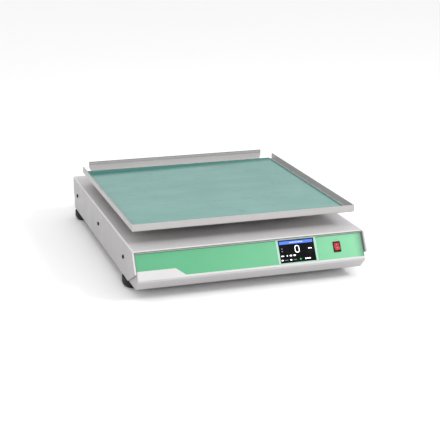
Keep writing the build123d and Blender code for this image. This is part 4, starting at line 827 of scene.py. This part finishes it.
class SHAKER_OT_mat(bpy.types.Operator):
    """Rubber mat with rolled edges, in place of the plain sheet"""

    bl_idname = "shaker.mat"
    bl_label = "Lay the Mat"

    def execute(self, context):
        settings = context.scene.shaker_mat
        low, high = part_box("platform_mat")
        middle = (low + high) / 2
        clear_selection()
        bpy.ops.mesh.primitive_grid_add(
            x_subdivisions=44, y_subdivisions=46, size=1, location=(middle.x, middle.y, high.z))
        mat = context.object
        mat.name = "mat"
        mat.scale = (high.x - low.x, high.y - low.y, 1)
        bpy.ops.object.transform_apply(location=True, rotation=True, scale=True)
        bpy.ops.object.mode_set(mode="EDIT")
        bpy.ops.mesh.select_mode(type="VERT")
        bpy.ops.mesh.select_all(action="DESELECT")
        shape = bmesh.from_edit_mesh(mat.data)
        for v in shape.verts:
            v.select = len(v.link_edges) == 2
        bmesh.update_edit_mesh(mat.data)
        bpy.ops.mesh.bevel(offset=settings.corner, segments=5, affect="VERTICES")
        bpy.ops.mesh.select_all(action="SELECT")
        bpy.ops.mesh.extrude_region_move(TRANSFORM_OT_translate={"value": (0, 0, low.z - high.z)})
        bpy.ops.mesh.select_all(action="SELECT")
        bpy.ops.mesh.normals_make_consistent(inside=False)
        bpy.ops.mesh.select_mode(type="EDGE")
        bpy.ops.mesh.select_all(action="DESELECT")
        shape = bmesh.from_edit_mesh(mat.data)
        for e in shape.edges:
            on_top = all(abs(v.co.z - high.z) < SAME_PLACE for v in e.verts)
            e.select = on_top and min(f.normal.z for f in e.link_faces) < 0.5
        bmesh.update_edit_mesh(mat.data)
        bpy.ops.mesh.bevel(offset=settings.roll, segments=3, affect="EDGES")
        bpy.ops.object.mode_set(mode="OBJECT")
        self.add_wave(mat, settings, low, high)
        bpy.ops.object.shade_smooth_by_angle(angle=radians(40))
        finish_piece(mat, mat_rubber(settings), "rocker")
        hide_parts("platform_mat")
        return {"FINISHED"}

    def add_wave(self, mat, settings, low, high):
        """Press the mat's top down a little here and there, away from its edges."""
        inside = mat.vertex_groups.new(name="inside")
        keep = settings.flat_edge
        top = [v.index for v in mat.data.vertices
               if abs(v.co.z - high.z) < SAME_PLACE
               and low.x + keep < v.co.x < high.x - keep
               and low.y + keep < v.co.y < high.y - keep]
        inside.add(top, 1.0, "REPLACE")
        cloud = bpy.data.textures.new("mat_wave", "CLOUDS")
        cloud.noise_scale = 0.11
        wave = mat.modifiers.new("wave", "DISPLACE")
        wave.texture = cloud
        wave.texture_coords = "LOCAL"
        wave.direction = "Z"
        wave.mid_level = 1.0
        wave.strength = settings.wave
        wave.vertex_group = "inside"
        bpy.ops.object.modifier_apply(modifier="wave")
        mat.vertex_groups.clear()


class SHAKER_OT_screen(bpy.types.Operator):
    """Display: dark glass, pale frame and a plain generic picture"""

    bl_idname = "shaker.screen"
    bl_label = "Light the Display"

    def execute(self, context):
        look = context.scene.shaker_screen
        dress(screen_glass(), "display_glass")
        frame_coat = moulded("frame_moulding", (0.290, 0.490, 0.380), 0.3, 0.6 * MM, 0.01 * MM)
        dress(frame_coat, "display_frame")
        face = Facet(
            ACROSS * reach("display_glass", ACROSS)[0] + PANEL_UP * reach("display_glass", PANEL_UP)[0]
            + PANEL_OUT * (GLASS_FACE + look.layer * 0.5), ACROSS, PANEL_UP)
        bright = lit_layer("picture_bright", look.bright, look.glow)
        dim = lit_layer("picture_dim", look.dim, look.glow)
        for name, make, material in (
            ("picture_bar", self.title_bar, lit_layer("picture_bar_blue", look.bar_blue, look.glow)),
            ("picture_bright_signs", self.bright_signs, bright),
            ("picture_title", self.title_signs, lit_layer("picture_title", look.title, look.glow)),
            ("picture_dim_signs", self.dim_signs, dim),
            ("picture_start", self.start_sign, lit_layer("picture_go", look.go_green, look.glow)),
        ):
            finish_piece(merge(name, make(face, look)), material, "housing")
        return {"FINISHED"}

    def title_bar(self, face, look):
        """Bar along the top of the picture."""
        width = SCREEN_WIDTH - 2 * look.margin
        y = SCREEN_HEIGHT - look.margin - look.bar_height / 2
        return [patch("bar", face, SCREEN_WIDTH / 2, y, width, look.bar_height, 0.6 * MM, look.layer)]

    def title_signs(self, face, look):
        """Row of plain blocks where a title would be, on top of the bar."""
        above = Facet(face.at(0, 0, look.layer * 1.5), ACROSS, PANEL_UP)
        middle = 1 - (look.margin + look.bar_height / 2) / SCREEN_HEIGHT
        return self.row(above, look, 0.5, middle, 9, 2.4 * MM, 1.9 * MM)

    def bright_signs(self, face, look):
        """Nought, unit, set row and the signs of the bottom row."""
        pieces = [self.sign("nought", face, look, 0.507, NOUGHT_ROW, look.digit_width,
                            look.digit_height, look.digit_width * 0.48, look.digit_stroke)]
        pieces += self.row(face, look, 0.87, UNIT_ROW, 3, 2.0 * MM, 2.2 * MM)
        pieces += self.row(face, look, 0.075, SET_ROW, 3, 1.5 * MM, 2.2 * MM)
        for share_x, wide in ((0.205, 2.2 * MM), (0.305, 4.4 * MM), (0.410, 4.4 * MM)):
            pieces.append(self.sign("set", face, look, share_x, SET_ROW, wide, 2.7 * MM, 1.1 * MM))
        for share_x in (0.055, 0.295):
            pieces.append(self.sign("tab", face, look, share_x, TAB_ROW, 4.0 * MM, 2.5 * MM, 1.2 * MM))
        pieces += self.row(face, look, 0.765, TAB_ROW, 5, 1.9 * MM, 2.7 * MM)
        return pieces

    def dim_signs(self, face, look):
        """Faint signs at the left and between the tabs."""
        pieces = []
        for share_y in (0.63, 0.52):
            pieces.append(self.sign("side", face, look, 0.085, share_y, 3.2 * MM, 1.8 * MM, 0.5 * MM))
        for share_x in (0.17, 0.41):
            pieces += self.row(face, look, share_x, DIM_ROW, 4, 1.4 * MM, 1.8 * MM)
        return pieces

    def start_sign(self, face, look):
        """Triangle of the start sign."""
        return [arrow_patch("start", face, SCREEN_WIDTH * 0.565, SCREEN_HEIGHT * TAB_ROW, 2.5 * MM,
                            look.layer)]

    def sign(self, name, face, look, share_x, share_y, wide, tall, corner, stroke=0.0):
        """One patch at shares of the display's width and height."""
        return patch(name, face, SCREEN_WIDTH * share_x, SCREEN_HEIGHT * share_y, wide, tall, corner,
                     look.layer, stroke)

    def row(self, face, look, share_x, share_y, count, wide, tall):
        """Short row of blocks that stands for a word, with every other block a little lower."""
        step = wide * 1.25
        start = SCREEN_WIDTH * share_x - step * (count - 1) / 2
        return [patch("block", face, start + step * i, SCREEN_HEIGHT * share_y, wide,
                      tall * (1 - 0.18 * (i % 2)), wide * 0.3, look.layer) for i in range(count)]


class SHAKER_OT_switch(bpy.types.Operator):
    """Power switch: black body, red rocker, and its on and off marks"""

    bl_idname = "shaker.switch"
    bl_label = "Finish the Switch"

    def execute(self, context):
        look = context.scene.shaker_switch
        dress(moulded("switch_moulding", (0.006, 0.006, 0.007), 0.45, 0.5 * MM, 0.01 * MM, 0.04, 0.2),
              "power_switch_body")
        dress(red_lens(look), "switch_rocker")
        upper, lower = self.rocker_faces()
        stroke, tall = look.mark_stroke, look.mark_height
        on = patch("on", upper, 0, 0, stroke, tall, stroke * 0.3, look.layer)
        off = patch("off", lower, 0, 0, tall * 0.8, tall, tall * 0.38, look.layer, stroke)
        finish_piece(merge("rocker_marks", [on, off]), ink("rocker_ink", look.ink),
                     "switch")
        self.print_above(look)
        return {"FINISHED"}

    def rocker_faces(self):
        """The rocker's upper and lower half faces, each as a facet through its middle."""
        mesh = frame["nodes"]["switch_rocker"].data
        halves = {}
        for face in mesh.polygons:
            if abs(face.normal.x) > 0.01 or face.normal.dot(PANEL_OUT) < 0.8:
                continue
            lean = round(face.normal.dot(PANEL_UP), 2)
            halves.setdefault(lean, []).append(face)
        largest = sorted(halves.values(), key=lambda faces: -sum(f.area for f in faces))[:2]
        facets = []
        for faces in largest:
            total = sum(f.area for f in faces)
            middle = sum((f.center * f.area for f in faces), Vector()) / total
            up = ACROSS.cross(faces[0].normal) * -1
            facets.append(Facet(middle, ACROSS, up))
        return sorted(facets, key=lambda facet: -facet.origin.dot(PANEL_UP))

    def print_above(self, look):
        """Small on and off signs printed on the film above the switch."""
        face = Facet(
            ACROSS * node_middle("power_switch_body", ACROSS) + PANEL_UP * SWITCH_TOP
            + PANEL_OUT * (PANEL_FACE + look.layer * 0.5), ACROSS, PANEL_UP)
        rise, gap, tall = 4.2 * MM, 1.6 * MM, 1.9 * MM
        on = patch("on", face, -gap, rise, 0.4 * MM, tall, 0.1 * MM, look.layer)
        off = patch("off", face, gap, rise, tall * 0.85, tall, tall * 0.4, look.layer, 0.35 * MM)
        finish_piece(merge("switch_print", [on, off]), ink("switch_print_ink", look.print_ink),
                     "housing")


class SHAKER_OT_stage(bpy.types.Operator):
    """Pale floor, soft lights and the camera"""

    bl_idname = "shaker.stage"
    bl_label = "Set the Stage"

    def execute(self, context):
        studio = context.scene.shaker_studio
        self.make_floor(studio)
        self.make_sky(context.scene, studio)
        self.make_light("key_light", (-0.35, -2.75, 1.15), (0, 0, 0.09), 0.5, studio.key)
        self.make_light("high_light", (1.75, -1.45, 1.90), (0, 0, 0.09), 0.7, studio.high)
        self.make_light("side_light", (-0.95, -1.15, 0.45), (-0.23, -0.25, 0.05), 0.4, studio.side)
        self.make_light("fill_light", (1.6, -2.1, 0.8), (0, 0, 0.09), 1.2, studio.fill)
        self.make_camera(context.scene, studio)
        context.scene.view_settings.view_transform = "Standard"
        return {"FINISHED"}

    def make_floor(self, studio):
        """Wide round floor."""
        clear_selection()
        bpy.ops.mesh.primitive_circle_add(vertices=96, radius=studio.floor_radius, fill_type="NGON")
        floor = bpy.context.object
        floor.name = "floor"
        bpy.ops.object.mode_set(mode="EDIT")
        bpy.ops.mesh.select_all(action="SELECT")
        bpy.ops.mesh.inset(thickness=0.4)
        bpy.ops.object.mode_set(mode="OBJECT")
        floor.data.materials.append(floor_finish(studio.floor_white))

    def make_sky(self, scene, studio):
        """Soft light from all round, stronger from above and a little from the front right."""
        world = bpy.data.worlds.new("studio_sky")
        world.use_nodes = True
        tree = world.node_tree
        ramp = put(tree, "ShaderNodeTexCoord").outputs["Generated"]
        above = scaled(tree, axis_place(tree, ramp, (0, 0, 1)), 0.0, 1.0, studio.sky,
                       studio.sky + studio.overhead)
        ahead = axis_place(tree, ramp, Vector((0.35, -0.93, 0.10)))
        level = sums(tree, "ADD", above, scaled(tree, ahead, 0.0, 1.0, 0.0, studio.front))
        tree.links.new(level, tree.nodes["Background"].inputs["Strength"])
        tree.nodes["Background"].inputs["Color"].default_value = (1.0, 1.0, 1.0, 1.0)
        scene.world = world

    def make_light(self, name, place, aim, size, power):
        """Square soft light that looks at a point."""
        bpy.ops.object.light_add(type="AREA", location=place)
        light = bpy.context.object
        light.name = name
        light.data.size = size
        light.data.energy = power
        light.rotation_euler = (Vector(aim) - Vector(place)).to_track_quat("-Z", "Y").to_euler()

    def make_camera(self, scene, studio):
        """Camera from its place, heading, tilt, roll and lens."""
        a, e = studio.heading, studio.tilt
        back = Vector((sin(a) * cos(e), -cos(a) * cos(e), sin(e)))
        right = Vector((cos(a), sin(a), 0))
        up = back.cross(right)
        turn = Matrix((right, up, back)).transposed() @ Matrix.Rotation(studio.roll, 3, "Z")
        bpy.ops.object.camera_add(location=studio.place, rotation=turn.to_euler())
        camera = bpy.context.object
        camera.name = "camera"
        camera.data.lens = studio.lens
        camera.data.sensor_width = 36.0
        camera.data.shift_y = studio.shift
        scene.camera = camera


class SHAKER_PT_panel(bpy.types.Panel):
    """Sidebar panel that lists the steps"""

    bl_idname = "SHAKER_PT_panel"
    bl_label = "Platform Shaker"
    bl_space_type = "VIEW_3D"
    bl_region_type = "UI"
    bl_category = "Shaker"

    def draw(self, context):
        column = self.layout.column(align=True)
        for step in STEPS:
            column.operator(step.bl_idname)


GROUPS = {
    "shaker_paint": ShakerPaint,
    "shaker_print": ShakerPrint,
    "shaker_mat": ShakerMat,
    "shaker_screen": ShakerScreen,
    "shaker_switch": ShakerSwitch,
    "shaker_studio": ShakerStudio,
}
STEPS = (
    SHAKER_OT_shell, SHAKER_OT_hardware, SHAKER_OT_feet, SHAKER_OT_film, SHAKER_OT_mat,
    SHAKER_OT_screen, SHAKER_OT_switch, SHAKER_OT_stage,
)


def register():
    """Register the settings, the steps and the panel."""
    for kind in (*GROUPS.values(), *STEPS, SHAKER_PT_panel):
        bpy.utils.register_class(kind)
    for name, kind in GROUPS.items():
        setattr(bpy.types.Scene, name, bpy.props.PointerProperty(type=kind))


def unregister():
    """Remove what register added."""
    for name in GROUPS:
        delattr(bpy.types.Scene, name)
    for kind in (SHAKER_PT_panel, *reversed(STEPS), *reversed(GROUPS.values())):
        bpy.utils.unregister_class(kind)


def main():
    """Run the steps in order."""
    register()
    bpy.ops.shaker.shell()
    bpy.ops.shaker.hardware()
    bpy.ops.shaker.feet()
    bpy.ops.shaker.film()
    bpy.ops.shaker.mat()
    bpy.ops.shaker.screen()
    bpy.ops.shaker.switch()
    bpy.ops.shaker.stage()
    clear_selection()


if __name__ == "__main__":
    main()
